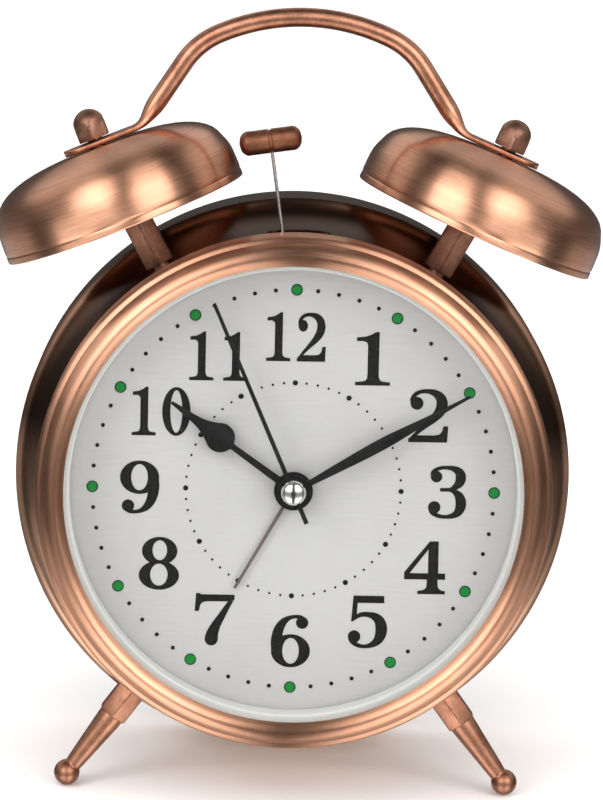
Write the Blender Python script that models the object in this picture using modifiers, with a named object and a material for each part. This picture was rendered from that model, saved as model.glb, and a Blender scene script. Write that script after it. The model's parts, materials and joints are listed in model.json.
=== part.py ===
"""Twin-bell alarm clock with a battery movement, a motor hammer and a loop handle.

Sizes are millimetres in the clock's own frame: the origin is the centre of the dial's front
face, +X is to the right seen from the front, +Y runs back along the drum, and +Z points to
twelve o'clock. The whole clock then leans back until both feet and the drum's rear rim
touch the table, and the frame's origin is moved to the middle of its base.
"""
import math

import bmesh
import bpy
import numpy as np
from mathutils import Euler, Matrix, Vector

MM = 0.001
MERGE = 1e-6

# --- Case, bezel and dial ---------------------------------------------------------------
COLLAR_R = 50.8
BAND_R = 57.5
SHEET = 1.0
COLLAR_FRONT_Y = -5.6
FLARE_Y = (2.0, 21.5)
RIM_Y = 40.0
RIM_LIP_R = 55.6
RIM_EDGE = (0.4, 0.8)
FLARE_DEGREES = (0, 27, 50, 70, 90)
SEAT_Y = (2.4, 3.4)
SEAT_R = 46.0
HAMMER_SLOT = ((-6.5, 6.5), (7.75, 12.25), (44.0, 60.0))
FOOT_HOLE = (42.0, 60.0)
POST_HOLE = (-8.0, 6.0)
# The bezel's section: (radius, depth behind the dial), from its inner lip outwards and back.
BEZEL = ((46.3, -8.7), (47.2, -9.55), (48.3, -9.9), (49.6, -9.4), (50.6, -8.2),
         (51.0, -7.2), (51.9, -6.7), (52.3, -5.8), (52.3, 1.5), (51.15, 1.5),
         (51.15, -5.3), (50.2, -6.3), (49.7, -7.6), (48.3, -8.75), (46.9, -8.15))
DIAL_R = 49.3
DIAL_Y = (0.0, 0.8)
PLATE_Y = (1.1, 2.1)
PLATE_R = 49.2
CENTRE_HOLE_R = 3.3
LENS_R = 49.2
LENS_Y = (-7.75, -6.5)
SPACER_Y = (-6.1, -0.3)
SPACER_IN_R = 45.3
COVER_Y = (29.0, 30.5)
COVER_R = 55.2
COVER_FLANGE = (53.8, 55.0, 24.0)
COVER_CUT = (27.0, 32.0)
SWITCH_SLOT = ((-6.2, 6.2), (18.6, 21.4))
OUTSIDE_STEPS = 44
INSIDE_STEPS = 32

# --- Stands, bells and handle -----------------------------------------------------------
STUD_R = 1.6
STUD_HOLE_R = 1.95
FOOT_ANGLE = math.radians(36.52)
FOOT_Y = 6.0
FOOT_BALL_AT = 75.7
FOOT_BALL_R = 2.65
POST_Y = 10.0
POST_FOOT = (27.8, 43.5)
POST_TILT = math.radians(29.0)
HEX_R = 3.4
# Distances along a post from its foot, and along a leg from the drum's axis.
POST_HEX = (1.0, 25.8)
POST_STUD = (-6.0, 3.0)
POST_NUT = (-5.0, -2.4)
BELL_STUD = (10.0, 21.0)
LEG_STUD = 45.5
LEG_NUT = (46.6, 49.2)
LEG_HEX = (51.9, 60.5)
LEG_CONE_R = (2.65, 1.7)
LEG_CONE_END = 73.5
BELL_TILT = math.radians(22.5)
BELL_RIM = (35.35, 53.3)
BELL_R = 25.5
BELL_H = 15.75
BELL_FLAT_R = 7.0
BELL_POWERS = (3, 4.1)
BELL_WALL = 1.0
NUT_ACROSS = 6.2
NUT_H = 6.2
HANDLE_TOP_Z = 95.1
HANDLE_ROD_R = 1.95
# The loop bends twice on each side: (radius, heading below level at its end).
HANDLE_BENDS = ((42.0, math.radians(24.5)), (16.0, math.radians(57.0)))
LUG_BEND_R = 6.0
LUG_PAST_STUD = 6.9
FLAT_LEAD = 4.0
LUG_HALF_W = 3.75
LUG_HALF_T = 0.65
GAP = 0.3

# --- Hammer -----------------------------------------------------------------------------
PIVOT = (-0.6, 33.0)
HAMMER_LEAN = math.radians(-8.85)
HAMMER_REACH = 37.4
HAMMER_R = 2.48
HAMMER_L = 13.4
WIRE_R = 0.35
CRANK_AT = (9.0, 33.0)
CRANK_THROW = 1.3
MOTOR_R = 5.0
MOTOR_Y = (15.6, 27.0)
BRACKET_Y = (14.2, 15.2)

# --- Movement ---------------------------------------------------------------------------
MOVEMENT_X = 23.2
MOVEMENT_Z = (-21.4, 26.7)
MOVEMENT_WALL = 1.2
MOVEMENT_SPLIT_Y = 11.0
MOVEMENT_Y = (3.7, 17.6)
PIN_R = 0.5
KNOB_X = 12.0
KNOB_R = 5.0
ARBOR_R = 1.2
ARBOR_HOLE_R = 1.8
ARBOR_END = 35.0
PILLARS = ((-26.0, 32.0), (26.0, 32.0), (0.0, -43.3))
PILLAR_R = 2.3
PILLAR_TOP = 28.7
PILLAR_BORE = 20.0
SCREW_HOLE_R = 1.45
# Radii of the nested tubes at the centre: (inside, outside), from the minute tube out.
TUBES = {"minute": (0.65, 1.05), "hour": (1.3, 1.7), "alarm": (1.95, 2.35), "bush": (2.6, 3.0)}
SECOND_ARBOR_R = 0.4
# Gear pairs: teeth of the pinion, teeth of the wheel, module.
SECOND_TO_THIRD = (6, 45, 20.4 / 51)
THIRD_TO_CENTRE = (6, 48, 20.4 / 54)
IDLER_TO_SECOND = (6, 30, 16.8 / 36)
ROTOR_TO_IDLER = (6, 36, 16.8 / 42)
MINUTE_TO_SETTER = (10, 30, 0.6)
SETTER_TO_HOUR = (8, 32, 0.6)
ALARM_SETTER = (10, 30, 0.6)
# Tooth form: addendum, dedendum (in modules), tip width, root width (parts of half a pitch).
PINION_TOOTH = (0.6, 1.1, 0.2, 0.5)
WHEEL_TOOTH = (0.65, 1.2, 0.18, 1.0)
IDLER_AT = (0.0, 8.4)
ROTOR_AT = (-5.94, 14.34)
THIRD_AT = (0.0, -10.2)

# --- Hands, at ten past ten with the alarm near seven -----------------------------------
HOUR_ANGLE = math.radians(305.0)
MINUTE_ANGLE = math.radians(60.0)
SECOND_ANGLE = math.radians(336.0)
ALARM_ANGLE = math.radians(209.3)

# --- Battery ----------------------------------------------------------------------------
CELL_R = 7.2
CELL_AT = (21.6, -31.75)
TRAY_X = 29.5
TRAY_Z = (-40.5, -23.0)
TRAY_Y = (13.0, 28.7)
TRAY_WALL = (1.2, 1.0)
DOOR_X = 30.0
DOOR_Y = (30.8, 32.3)
DOOR_Z = (-40.3, -22.6)
SWITCH_AT = (-3.0, 20.0)

FACING = Euler((math.pi / 2, 0, 0))
ALONG_X = Euler((0, math.pi / 2, 0))
UPRIGHT = Euler((0, 0, 0))

COPPER = ((0.72, 0.39, 0.26), 0.32, 1.0)
DARK_COPPER = ((0.38, 0.17, 0.10), 0.42, 1.0)
STEEL = ((0.60, 0.60, 0.62), 0.35, 1.0)
BRASS = ((0.72, 0.56, 0.26), 0.35, 1.0)
BLACK_PLASTIC = ((0.015, 0.015, 0.016), 0.45, 0.0)
WHITE_PLASTIC = ((0.75, 0.75, 0.72), 0.45, 0.0)
BLACK_PAINT = ((0.010, 0.010, 0.010), 0.5, 0.0)
GREY_PAINT = ((0.22, 0.18, 0.18), 0.5, 0.0)
DIAL_WHITE = ((0.80, 0.80, 0.80), 0.5, 0.0)
CLEAR = ((0.95, 0.97, 0.97), 0.05, 0.0)
GREEN_BOARD = ((0.02, 0.16, 0.07), 0.5, 0.0)
WINDING = ((0.45, 0.14, 0.05), 0.35, 1.0)
CHROME = ((0.80, 0.80, 0.82), 0.08, 1.0)
CELL_WRAP = ((0.05, 0.06, 0.09), 0.35, 0.0)


# --- Scene helpers ----------------------------------------------------------------------
def clear_scene():
    for obj in list(bpy.data.objects):
        bpy.data.objects.remove(obj, do_unlink=True)


def collection(name):
    made = bpy.data.collections.new(name)
    bpy.context.scene.collection.children.link(made)
    return made


def empty(name, parent, at=(0, 0, 0), turn=UPRIGHT):
    made = bpy.data.objects.new(name, None)
    CLOCK.objects.link(made)
    made.parent = parent
    made.location = Vector(at) * MM
    made.rotation_euler = turn
    return made


def material(name, look):
    colour, roughness, metallic = look
    made = bpy.data.materials.new(name)
    made.use_nodes = True
    shader = made.node_tree.nodes["Principled BSDF"]
    shader.inputs["Base Color"].default_value = (*colour, 1)
    shader.inputs["Roughness"].default_value = roughness
    shader.inputs["Metallic"].default_value = metallic
    return made


def add(name, mesh, at, turn, parent=None):
    """A new object with this mesh, in millimetres until now, placed in its parent's frame."""
    mesh.transform(Matrix.Scale(MM, 4))
    made = bpy.data.objects.new(name, mesh)
    CLOCK.objects.link(made)
    made.parent = parent or FRAME
    made.location = Vector(at) * MM
    made.rotation_euler = turn
    return made


def finish(obj, look, sharp=35):
    """Gives a piece its own material and smooth shading with sharp edges."""
    obj.data.materials.append(material(obj.name, look))
    obj.data.shade_smooth()
    obj.data.set_sharp_from_angle(angle=math.radians(sharp))
    return obj


def hide(obj):
    """Keeps a cutter, or a shape that a union has taken in, out of the finished clock."""
    for owner in list(obj.users_collection):
        owner.objects.unlink(obj)
    CUTTERS.objects.link(obj)
    obj.hide_render = True
    obj.display_type = "WIRE"


def combine(obj, operation, *others):
    for other in others:
        modifier = obj.modifiers.new(operation.lower(), "BOOLEAN")
        modifier.operation = operation
        modifier.solver = "EXACT"
        modifier.object = other
        hide(other)
    return obj


def join(obj, *others):
    return combine(obj, "UNION", *others)


def cut(obj, *others):
    return combine(obj, "DIFFERENCE", *others)


# --- Shape helpers ----------------------------------------------------------------------
def depths(profile):
    """A profile given as (radius, depth behind the dial) for a piece that faces forward."""
    return [(radius, -depth) for radius, depth in profile]


def lathe(name, profile, at=(0, 0, 0), turn=FACING, steps=INSIDE_STEPS, parent=None):
    """Turns (radius, height) points about Z. They run down the outer side, top to bottom."""
    mesh = bpy.data.meshes.new(name)
    count = len(profile)
    on_axis = profile[0][0] == 0
    edges = [(i, i + 1) for i in range(count - 1)]
    if not on_axis:
        edges.append((count - 1, 0))
    mesh.from_pydata([(radius, 0, height) for radius, height in profile], edges, [])
    made = add(name, mesh, at, turn, parent)
    screw = made.modifiers.new("turn", "SCREW")
    screw.axis = "Z"
    screw.steps = steps
    screw.render_steps = steps
    screw.use_merge_vertices = True
    screw.merge_threshold = MERGE
    screw.use_smooth_shade = True
    return made


def rod(name, radius, ends, at=(0, 0, 0), turn=FACING, segments=16, tip=None, parent=None):
    """A round or many-sided bar along its own Z, between two heights."""
    shape = bmesh.new()
    bmesh.ops.create_cone(shape, cap_ends=True, segments=segments, radius1=radius,
                          radius2=radius if tip is None else tip, depth=ends[1] - ends[0])
    bmesh.ops.translate(shape, verts=shape.verts, vec=(0, 0, (ends[0] + ends[1]) / 2))
    mesh = bpy.data.meshes.new(name)
    shape.to_mesh(mesh)
    shape.free()
    return add(name, mesh, at, turn, parent)


def shaft(name, radius, depth, at=(0, 0), **more):
    """A bar along the drum's axis, between two depths behind the dial."""
    return rod(name, radius, (-depth[1], -depth[0]), at=(at[0], 0, at[1]), **more)


def block(name, x, y, z, parent=None):
    """A box between three pairs of limits."""
    shape = bmesh.new()
    bmesh.ops.create_cube(shape, size=1.0)
    size = Vector((x[1] - x[0], y[1] - y[0], z[1] - z[0]))
    bmesh.ops.scale(shape, verts=shape.verts, vec=size)
    mesh = bpy.data.meshes.new(name)
    shape.to_mesh(mesh)
    shape.free()
    middle = ((x[0] + x[1]) / 2, (y[0] + y[1]) / 2, (z[0] + z[1]) / 2)
    return add(name, mesh, middle, UPRIGHT, parent)


def ring(radius, count=20, centre=(0.0, 0.0)):
    """The points of a circle."""
    turns = [2 * math.pi * i / count for i in range(count)]
    return [(centre[0] + radius * math.cos(a), centre[1] + radius * math.sin(a)) for a in turns]


def plate(name, outlines, depth, at=(0, 0), turn=FACING, parent=None):
    """A flat piece cut to closed outlines, the first the edge and the others holes."""
    curve = bpy.data.curves.new(name, "CURVE")
    curve.dimensions = "2D"
    curve.fill_mode = "BOTH"
    curve.extrude = (depth[1] - depth[0]) / 2
    for outline in outlines:
        spline = curve.splines.new("POLY")
        spline.points.add(len(outline) - 1)
        for point, (x, y) in zip(spline.points, outline):
            point.co = (x, y, 0, 1)
        spline.use_cyclic_u = True
    return add(name, mesh_of(name, curve, -(depth[0] + depth[1]) / 2),
               (at[0], 0, at[1]), turn, parent)


def mesh_of(name, curve, lift=0.0):
    """The closed mesh of a curve, moved along Z."""
    guide = bpy.data.objects.new(name, curve)
    CLOCK.objects.link(guide)
    bpy.context.view_layer.update()
    evaluated = guide.evaluated_get(bpy.context.evaluated_depsgraph_get())
    mesh = bpy.data.meshes.new_from_object(evaluated)
    bpy.data.objects.remove(guide, do_unlink=True)
    shape = bmesh.new()
    shape.from_mesh(mesh)
    bmesh.ops.remove_doubles(shape, verts=shape.verts, dist=1e-4)
    bmesh.ops.translate(shape, verts=shape.verts, vec=(0, 0, lift))
    shape.to_mesh(mesh)
    shape.free()
    return mesh


def gear_outline(teeth, module, tooth, phase):
    """The outline of a gear with the middle of one tooth at the angle phase."""
    addendum, dedendum, tip_width, root_width = tooth
    tip = module * (teeth / 2 + addendum)
    root = module * (teeth / 2 - dedendum)
    corners = [(-root_width, root), (-tip_width, tip), (tip_width, tip)]
    if root_width < 1:
        corners.append((root_width, root))
    half_pitch = math.pi / teeth
    points = []
    for i in range(teeth):
        middle = phase + 2 * half_pitch * i
        for width, radius in corners:
            angle = middle + width * half_pitch
            points.append((radius * math.cos(angle), radius * math.sin(angle)))
    return points


def pinion(name, pair, depth, at, towards, bore=None):
    """The small gear of a pair, with a tooth pointing at its partner."""
    outlines = [gear_outline(pair[0], pair[2], PINION_TOOTH, heading(at, towards))]
    if bore:
        outlines.append(ring(bore))
    return plate(name, outlines, depth, at)


def wheel(name, pair, depth, at, towards, bore=None):
    """The large gear of a pair, with a gap pointing at its partner."""
    phase = heading(at, towards) + math.pi / pair[1]
    outlines = [gear_outline(pair[1], pair[2], WHEEL_TOOTH, phase)]
    if bore:
        outlines.append(ring(bore))
    return plate(name, outlines, depth, at)


def heading(start, end):
    return math.atan2(end[1] - start[1], end[0] - start[0])


def tube(name, kind, depth):
    inside, outside = TUBES[kind]
    profile = [(outside, depth[0]), (outside, depth[1]), (inside, depth[1]), (inside, depth[0])]
    return lathe(name, depths(profile), steps=20)


def towards_rim(angle):
    """A turn that points a piece's Z away from the dial's centre, clockwise from twelve."""
    return Euler((0, angle, 0))


# --- Case and dial ----------------------------------------------------------------------
def flare_radius(depth):
    """Outer radius of the trumpet-shaped drum at a depth behind the dial."""
    part = min(max((depth - FLARE_Y[0]) / (FLARE_Y[1] - FLARE_Y[0]), 0.0), 1.0)
    return COLLAR_R + (BAND_R - COLLAR_R) * (1 - math.sqrt(1 - part * part))


def make_case():
    flare = [FLARE_Y[0] + (FLARE_Y[1] - FLARE_Y[0]) * math.sin(math.radians(a))
             for a in FLARE_DEGREES]
    outer = [(COLLAR_R, COLLAR_FRONT_Y)] + [(flare_radius(y), y) for y in flare]
    rim = [(BAND_R, RIM_Y - RIM_EDGE[1]), (BAND_R - RIM_EDGE[0], RIM_Y), (RIM_LIP_R, RIM_Y),
           (RIM_LIP_R, RIM_Y - SHEET), (BAND_R - SHEET, RIM_Y - SHEET)]
    inner = [(flare_radius(y) - SHEET, y) for y in flare[::-1] if y > SEAT_Y[1] + 1]
    inside = COLLAR_R - SHEET
    seat = [(inside, SEAT_Y[1]), (SEAT_R, SEAT_Y[1]), (SEAT_R, SEAT_Y[0]), (inside, SEAT_Y[0]),
            (inside, COLLAR_FRONT_Y)]
    case = lathe("case_shell", depths(outer + rim + inner + seat), steps=OUTSIDE_STEPS)
    cutters = [block("slot_cutter", *HAMMER_SLOT)]
    for side in (-1, 1):
        cutters.append(rod("foot_hole", STUD_HOLE_R, FOOT_HOLE, at=(0, FOOT_Y, 0),
                           turn=towards_rim(side * (math.pi - FOOT_ANGLE))))
        cutters.append(rod("post_hole", STUD_HOLE_R, POST_HOLE, turn=towards_rim(side * POST_TILT),
                           at=(side * POST_FOOT[0], POST_Y, POST_FOOT[1])))
    finish(cut(case, *cutters), COPPER)


def make_front():
    finish(lathe("bezel", depths(BEZEL), steps=OUTSIDE_STEPS), COPPER)
    disc = [(0, LENS_Y[0]), (LENS_R, LENS_Y[0]), (LENS_R, LENS_Y[1]), (0, LENS_Y[1])]
    finish(lathe("lens", depths(disc)), CLEAR)
    spacer = [(DIAL_R, SPACER_Y[0]), (DIAL_R, SPACER_Y[1]), (SPACER_IN_R, SPACER_Y[1]),
              (SPACER_IN_R, SPACER_Y[0])]
    finish(lathe("spacer_ring", depths(spacer)), WHITE_PLASTIC)
    front, back = DIAL_Y
    disc = [(DIAL_R, front), (DIAL_R, back), (CENTRE_HOLE_R, back), (CENTRE_HOLE_R, front)]
    finish(lathe("dial", depths(disc)), DIAL_WHITE)


def make_dial_plate():
    """The moulded plate behind the dial, with the three pillars that hold the rear cover."""
    front, back = PLATE_Y
    disc = [(PLATE_R, front), (PLATE_R, back), (CENTRE_HOLE_R, back), (CENTRE_HOLE_R, front)]
    dial_plate = lathe("dial_plate", depths(disc))
    start = (front + back) / 2
    profile = [(0, start), (PILLAR_R, start), (PILLAR_R, PILLAR_TOP),
               (SCREW_HOLE_R, PILLAR_TOP), (SCREW_HOLE_R, PILLAR_BORE), (0, PILLAR_BORE)]
    pillars = [lathe("pillar", depths(profile), at=(x, 0, z), steps=12) for x, z in PILLARS]
    finish(join(dial_plate, *pillars), WHITE_PLASTIC)


def make_rear_cover():
    front, back = COVER_Y
    inside, outside, start = COVER_FLANGE
    profile = [(0, front), (inside, front), (inside, start), (outside, start), (COVER_R, front),
               (COVER_R, back - 0.4), (COVER_R - 0.4, back), (0, back)]
    cover = lathe("rear_cover", depths(profile))
    window = (1.5 - TRAY_X, TRAY_X - 1.5)
    cutters = [block("window", window, COVER_CUT, (TRAY_Z[0] + 1.2, TRAY_Z[1] - 1.2)),
               block("switch_slot", SWITCH_SLOT[0], COVER_CUT, SWITCH_SLOT[1])]
    for x in (-KNOB_X, KNOB_X):
        cutters.append(shaft("knob_hole", ARBOR_HOLE_R, COVER_CUT, (x, 0)))
    for place in PILLARS:
        cutters.append(shaft("screw_hole", SCREW_HOLE_R, COVER_CUT, place))
    finish(cut(cover, *cutters), BLACK_PLASTIC)


def make_cover_screws():
    for i, (x, z) in enumerate(PILLARS, 1):
        screw = [(0, 22.0), (1.1, 22.0), (1.1, 30.8), (2.5, 30.8), (2.3, 31.9), (0, 32.0)]
        piece = lathe(f"cover_screw_{i}", depths(screw), at=(x, 0, z), steps=14)
        notch = block("screw_slot", (x - 4, x + 4), (31.3, 33), (z - 0.35, z + 0.35))
        finish(cut(piece, notch), STEEL)


# --- Feet, posts, bells and handle ------------------------------------------------------
def make_feet():
    hex_start, hex_end = LEG_HEX
    root, neck = LEG_CONE_R
    ball = []
    for degrees in (0, 30, 58, 86, 112, 134):
        angle = math.radians(degrees)
        ball.append((FOOT_BALL_R * math.sin(angle), FOOT_BALL_AT + FOOT_BALL_R * math.cos(angle)))
    profile = ball + [(neck, LEG_CONE_END), (root, hex_end + 0.4), (root, hex_end - 0.5),
                      (STUD_R, hex_end - 0.5), (STUD_R, LEG_STUD), (0, LEG_STUD)]
    for name, side in (("left", -1), ("right", 1)):
        turn = towards_rim(side * (math.pi - FOOT_ANGLE))
        at = (0, FOOT_Y, 0)
        foot = lathe(f"foot_{name}", profile, at=at, turn=turn, steps=14)
        grip = rod("grip", HEX_R, (hex_start, hex_end - 0.7), at=at, turn=turn, segments=6)
        chamfer = rod("chamfer", HEX_R - 0.1, (hex_end - 1.2, hex_end), at=at, turn=turn,
                      segments=6, tip=HEX_R - 0.35)
        finish(join(foot, grip, chamfer), DARK_COPPER)
        nut(f"foot_nut_{name}", 2.6, LEG_NUT, at, turn)


def nut(name, radius, ends, at, turn):
    body = rod(name, radius, ends, at=at, turn=turn, segments=6)
    bore = rod("nut_bore", STUD_HOLE_R, (ends[0] - 1, ends[1] + 1), at=at, turn=turn)
    return finish(cut(body, bore), STEEL)


def bell_point(side, height):
    """The point on a bell's axis at a height above its rim."""
    return (side * (BELL_RIM[0] + height * math.sin(BELL_TILT)), POST_Y,
            BELL_RIM[1] + height * math.cos(BELL_TILT))


def make_posts():
    for name, side in (("left", -1), ("right", 1)):
        at = (side * POST_FOOT[0], POST_Y, POST_FOOT[1])
        turn = towards_rim(side * POST_TILT)
        post = rod(f"bell_post_{name}", HEX_R, POST_HEX, at=at, turn=turn, segments=6)
        lower = rod("lower_stud", STUD_R, POST_STUD, at=at, turn=turn)
        upper = rod("upper_stud", STUD_R, BELL_STUD, at=bell_point(side, 0),
                    turn=towards_rim(side * BELL_TILT))
        finish(join(post, lower, upper), DARK_COPPER)
        nut(f"post_nut_{name}", 2.95, POST_NUT, at, turn)


def bell_profile():
    """A deep dish, (r/R)^a + (h/H)^b = 1 outside and, one wall in, inside."""
    a, b = BELL_POWERS

    def side(radius, height, heights):
        return [(radius * (1 - part ** b) ** (1 / a), height * part) for part in heights]

    outer = side(BELL_R, BELL_H, (0.975, 0.92, 0.82, 0.67, 0.45, 0.2, 0.0))
    inner = side(BELL_R - BELL_WALL, BELL_H - BELL_WALL, (0.0, 0.5, 0.8, 0.93, 0.975))
    flat = BELL_H * (1 - (BELL_FLAT_R / BELL_R) ** a) ** (1 / b)
    top = [(STUD_HOLE_R, flat), (BELL_FLAT_R, flat)]
    return top + outer + inner + [(STUD_HOLE_R, flat - BELL_WALL)], flat


def make_bells():
    profile, flat = bell_profile()
    lug_top = flat + 2 * LUG_HALF_T + 2 * GAP
    crown, corner = NUT_ACROSS / 2 + 0.2, NUT_ACROSS / math.sqrt(3)
    dome = [(0, NUT_H)]
    dome += [(crown * math.sin(a), NUT_H - crown + crown * math.cos(a)) for a in (0.4, 0.8, 1.2)]
    dome += [(corner + 0.02, NUT_H - corner), (corner + 0.02, -1), (0, -1)]
    for name, side in (("left", -1), ("right", 1)):
        turn = towards_rim(side * BELL_TILT)
        bell = lathe(f"bell_{name}", profile, at=bell_point(side, 0), turn=turn, steps=36)
        finish(bell, COPPER)
        at = bell_point(side, lug_top)
        cap = rod(f"cap_nut_{name}", corner, (0, NUT_H + 0.5), at=at, turn=turn, segments=6)
        combine(cap, "INTERSECT", lathe("dome", dome, at=at, turn=turn, steps=14))
        bore = rod("cap_bore", STUD_HOLE_R, (-1, 4.2), at=at, turn=turn)
        finish(cut(cap, bore), DARK_COPPER)


def handle_half():
    """Centre line of the right half, from the top: (x, z, heading below level, length)."""
    x, z, slope, run = 0.0, HANDLE_TOP_Z, 0.0, 0.0
    stations = [(x, z, slope, run)]

    def arc(radius, end, count):
        nonlocal x, z, slope, run
        step = (end - slope) / count
        for _ in range(count):
            after = slope + step
            x += radius * (math.sin(after) - math.sin(slope))
            z -= radius * (math.cos(slope) - math.cos(after))
            run += abs(radius * step)
            slope = after
            stations.append((x, z, slope, run))

    def straight(length, count):
        nonlocal x, z, run
        for _ in range(count):
            x += length / count * math.cos(slope)
            z -= length / count * math.sin(slope)
            run += length / count
            stations.append((x, z, slope, run))

    for radius, end in HANDLE_BENDS:
        arc(radius, end, 5)
    leg, lug = leg_and_lug(x, z, slope)
    straight(leg, 3)
    flat_from = run - FLAT_LEAD
    arc(-LUG_BEND_R, BELL_TILT, 4)
    flat_to = run
    straight(lug + LUG_PAST_STUD - LUG_HALF_W, 2)
    for part in (0.45, 0.3, 0.17, 0.07):
        straight(LUG_HALF_W * part, 1)
    return stations, flat_from, flat_to


def leg_and_lug(x, z, slope):
    """Lengths of the straight leg, and of the lug as far as the bell's stud."""
    stud_x, _, stud_z = bell_point(1, bell_profile()[1] + GAP + LUG_HALF_T)
    out = stud_x - x - LUG_BEND_R * (math.sin(slope) - math.sin(BELL_TILT))
    down = z - stud_z - LUG_BEND_R * (math.cos(BELL_TILT) - math.cos(slope))
    turn = math.sin(slope - BELL_TILT)
    leg = (down * math.cos(BELL_TILT) - out * math.sin(BELL_TILT)) / turn
    lug = (out * math.sin(slope) - down * math.cos(slope)) / turn
    return leg, lug


def handle_section(station, flat_from, flat_to, end, sides=10):
    """A round section that is hammered wide and thin towards the lug, then rounded off."""
    x, z, slope, run = station
    part = min(max((run - flat_from) / (flat_to - flat_from), 0.0), 1.0)
    part = part * part * (3 - 2 * part)
    half_w = HANDLE_ROD_R + (LUG_HALF_W - HANDLE_ROD_R) * part
    half_t = HANDLE_ROD_R + (LUG_HALF_T - HANDLE_ROD_R) * part
    past = max(run - (end - LUG_HALF_W), 0.0)
    half_w *= math.sqrt(max(1 - (past / LUG_HALF_W) ** 2, 0.0004))
    power = 2 / (2 + 2 * part)
    points = []
    for i in range(sides):
        angle = 2 * math.pi * (i + 0.5) / sides
        across = half_w * math.copysign(abs(math.cos(angle)) ** power, math.cos(angle))
        up = half_t * math.copysign(abs(math.sin(angle)) ** power, math.sin(angle))
        points.append(Vector((x + up * math.sin(slope), across, z + up * math.cos(slope))))
    return points


def make_handle():
    stations, flat_from, flat_to = handle_half()
    end = stations[-1][3]
    right = [handle_section(s, flat_from, flat_to, end) for s in stations]
    left = [[Vector((-p.x, p.y, p.z)) for p in points] for points in right[:0:-1]]
    shape = bmesh.new()
    rings = [[shape.verts.new(point) for point in points] for points in left + right]
    sides = len(rings[0])
    for one, two in zip(rings, rings[1:]):
        for i in range(sides):
            j = (i + 1) % sides
            shape.faces.new((one[i], one[j], two[j], two[i]))
    shape.faces.new(rings[0][::-1])
    shape.faces.new(rings[-1])
    bmesh.ops.recalc_face_normals(shape, faces=shape.faces)
    mesh = bpy.data.meshes.new("handle")
    shape.to_mesh(mesh)
    shape.free()
    handle = add("handle", mesh, (0, POST_Y, 0), UPRIGHT)
    holes = [rod("lug_hole", STUD_HOLE_R, (BELL_STUD[0] + 2, BELL_STUD[1] + 3), at=bell_point(side, 0),
                 turn=towards_rim(side * BELL_TILT)) for side in (-1, 1)]
    finish(cut(handle, *holes), DARK_COPPER)


# --- Hammer -----------------------------------------------------------------------------
def make_hammer():
    swing = empty("hammer_swing", FRAME, (PIVOT[0], POST_Y, PIVOT[1]),
                  towards_rim(HAMMER_LEAN))
    socket_floor, socket_top = 3.6, 8.0
    lever = plate("hammer_lever", [ring(2.4), ring(1.1, 12)], (-0.8, 0.8), parent=swing)
    stem = block("stem", (-1.3, 1.3), (-1.3, 1.3), (1.9, socket_top), parent=swing)
    arm_outline = [(1.8, -1.3), (12.4, 0.2), (12.4, 3.0), (1.8, 1.3)]
    arm = plate("arm", [arm_outline], (-0.7, 0.7), parent=swing)
    slot = block("fork_slot", (8.6, 10.4), (-2, 2), (0.2, 2.2), parent=swing)
    bore = rod("socket", 0.65, (socket_floor, socket_top + 1), turn=UPRIGHT, segments=10,
               parent=swing)
    finish(cut(join(lever, stem, arm), slot, bore), BLACK_PLASTIC)
    wire = rod("hammer_wire", WIRE_R, (socket_floor + GAP, HAMMER_REACH + 0.4), turn=UPRIGHT,
               segments=10, parent=swing)
    finish(wire, STEEL)
    half = HAMMER_L / 2
    profile = [(0, half), (1.3, half - 0.25), (2.1, half - 0.85), (HAMMER_R, half - 1.6),
               (HAMMER_R, 0.35), (HAMMER_R - 0.2, 0.15), (HAMMER_R - 0.2, -0.15),
               (HAMMER_R, -0.35), (HAMMER_R, 1.6 - half), (2.1, 0.85 - half),
               (1.3, 0.25 - half), (0, -half)]
    head = lathe("hammer_head", profile, at=(0, 0, HAMMER_REACH), turn=ALONG_X, steps=16,
                 parent=swing)
    bore = rod("head_bore", 0.65, (HAMMER_REACH - 4, HAMMER_REACH + 0.8), turn=UPRIGHT,
               segments=10, parent=swing)
    finish(cut(head, bore), DARK_COPPER)


def make_hammer_drive():
    pin = shaft("hammer_pivot_pin", 0.8, (8.2, 15.6), PIVOT, segments=12)
    finish(pin, STEEL)
    outline = [(-30.5, 27.5), (30.5, 27.5), (30.5, 36.0), (26.0, 38.5), (-26.0, 38.5),
               (-30.5, 36.0)]
    holes = [ring(PILLAR_R + GAP, 12, place) for place in PILLARS[:2]]
    holes += [ring(1.1, 12, PIVOT), ring(2.0, 12, CRANK_AT)]
    finish(plate("hammer_bracket", [outline] + holes, BRACKET_Y), STEEL)
    front, back = MOTOR_Y
    can = [(0, front), (MOTOR_R, front), (MOTOR_R, back - 0.4), (MOTOR_R - 0.4, back), (0, back)]
    motor = lathe("hammer_motor", depths(can), at=(CRANK_AT[0], 0, CRANK_AT[1]), steps=24)
    bore = shaft("motor_bore", 1.05, (14, 18.2), CRANK_AT, segments=12)
    finish(cut(motor, bore), STEEL)
    crank = shaft("hammer_crank", 3.0, (12.6, 13.6), CRANK_AT, segments=20)
    spindle = shaft("spindle", 0.75, (13.2, 17.9), CRANK_AT, segments=12)
    pin_at = (CRANK_AT[0] + CRANK_THROW, CRANK_AT[1])
    crank_pin = shaft("crank_pin", PIN_R, (11.1, 13.0), pin_at, segments=10)
    finish(join(crank, spindle, crank_pin), WHITE_PLASTIC)


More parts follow.
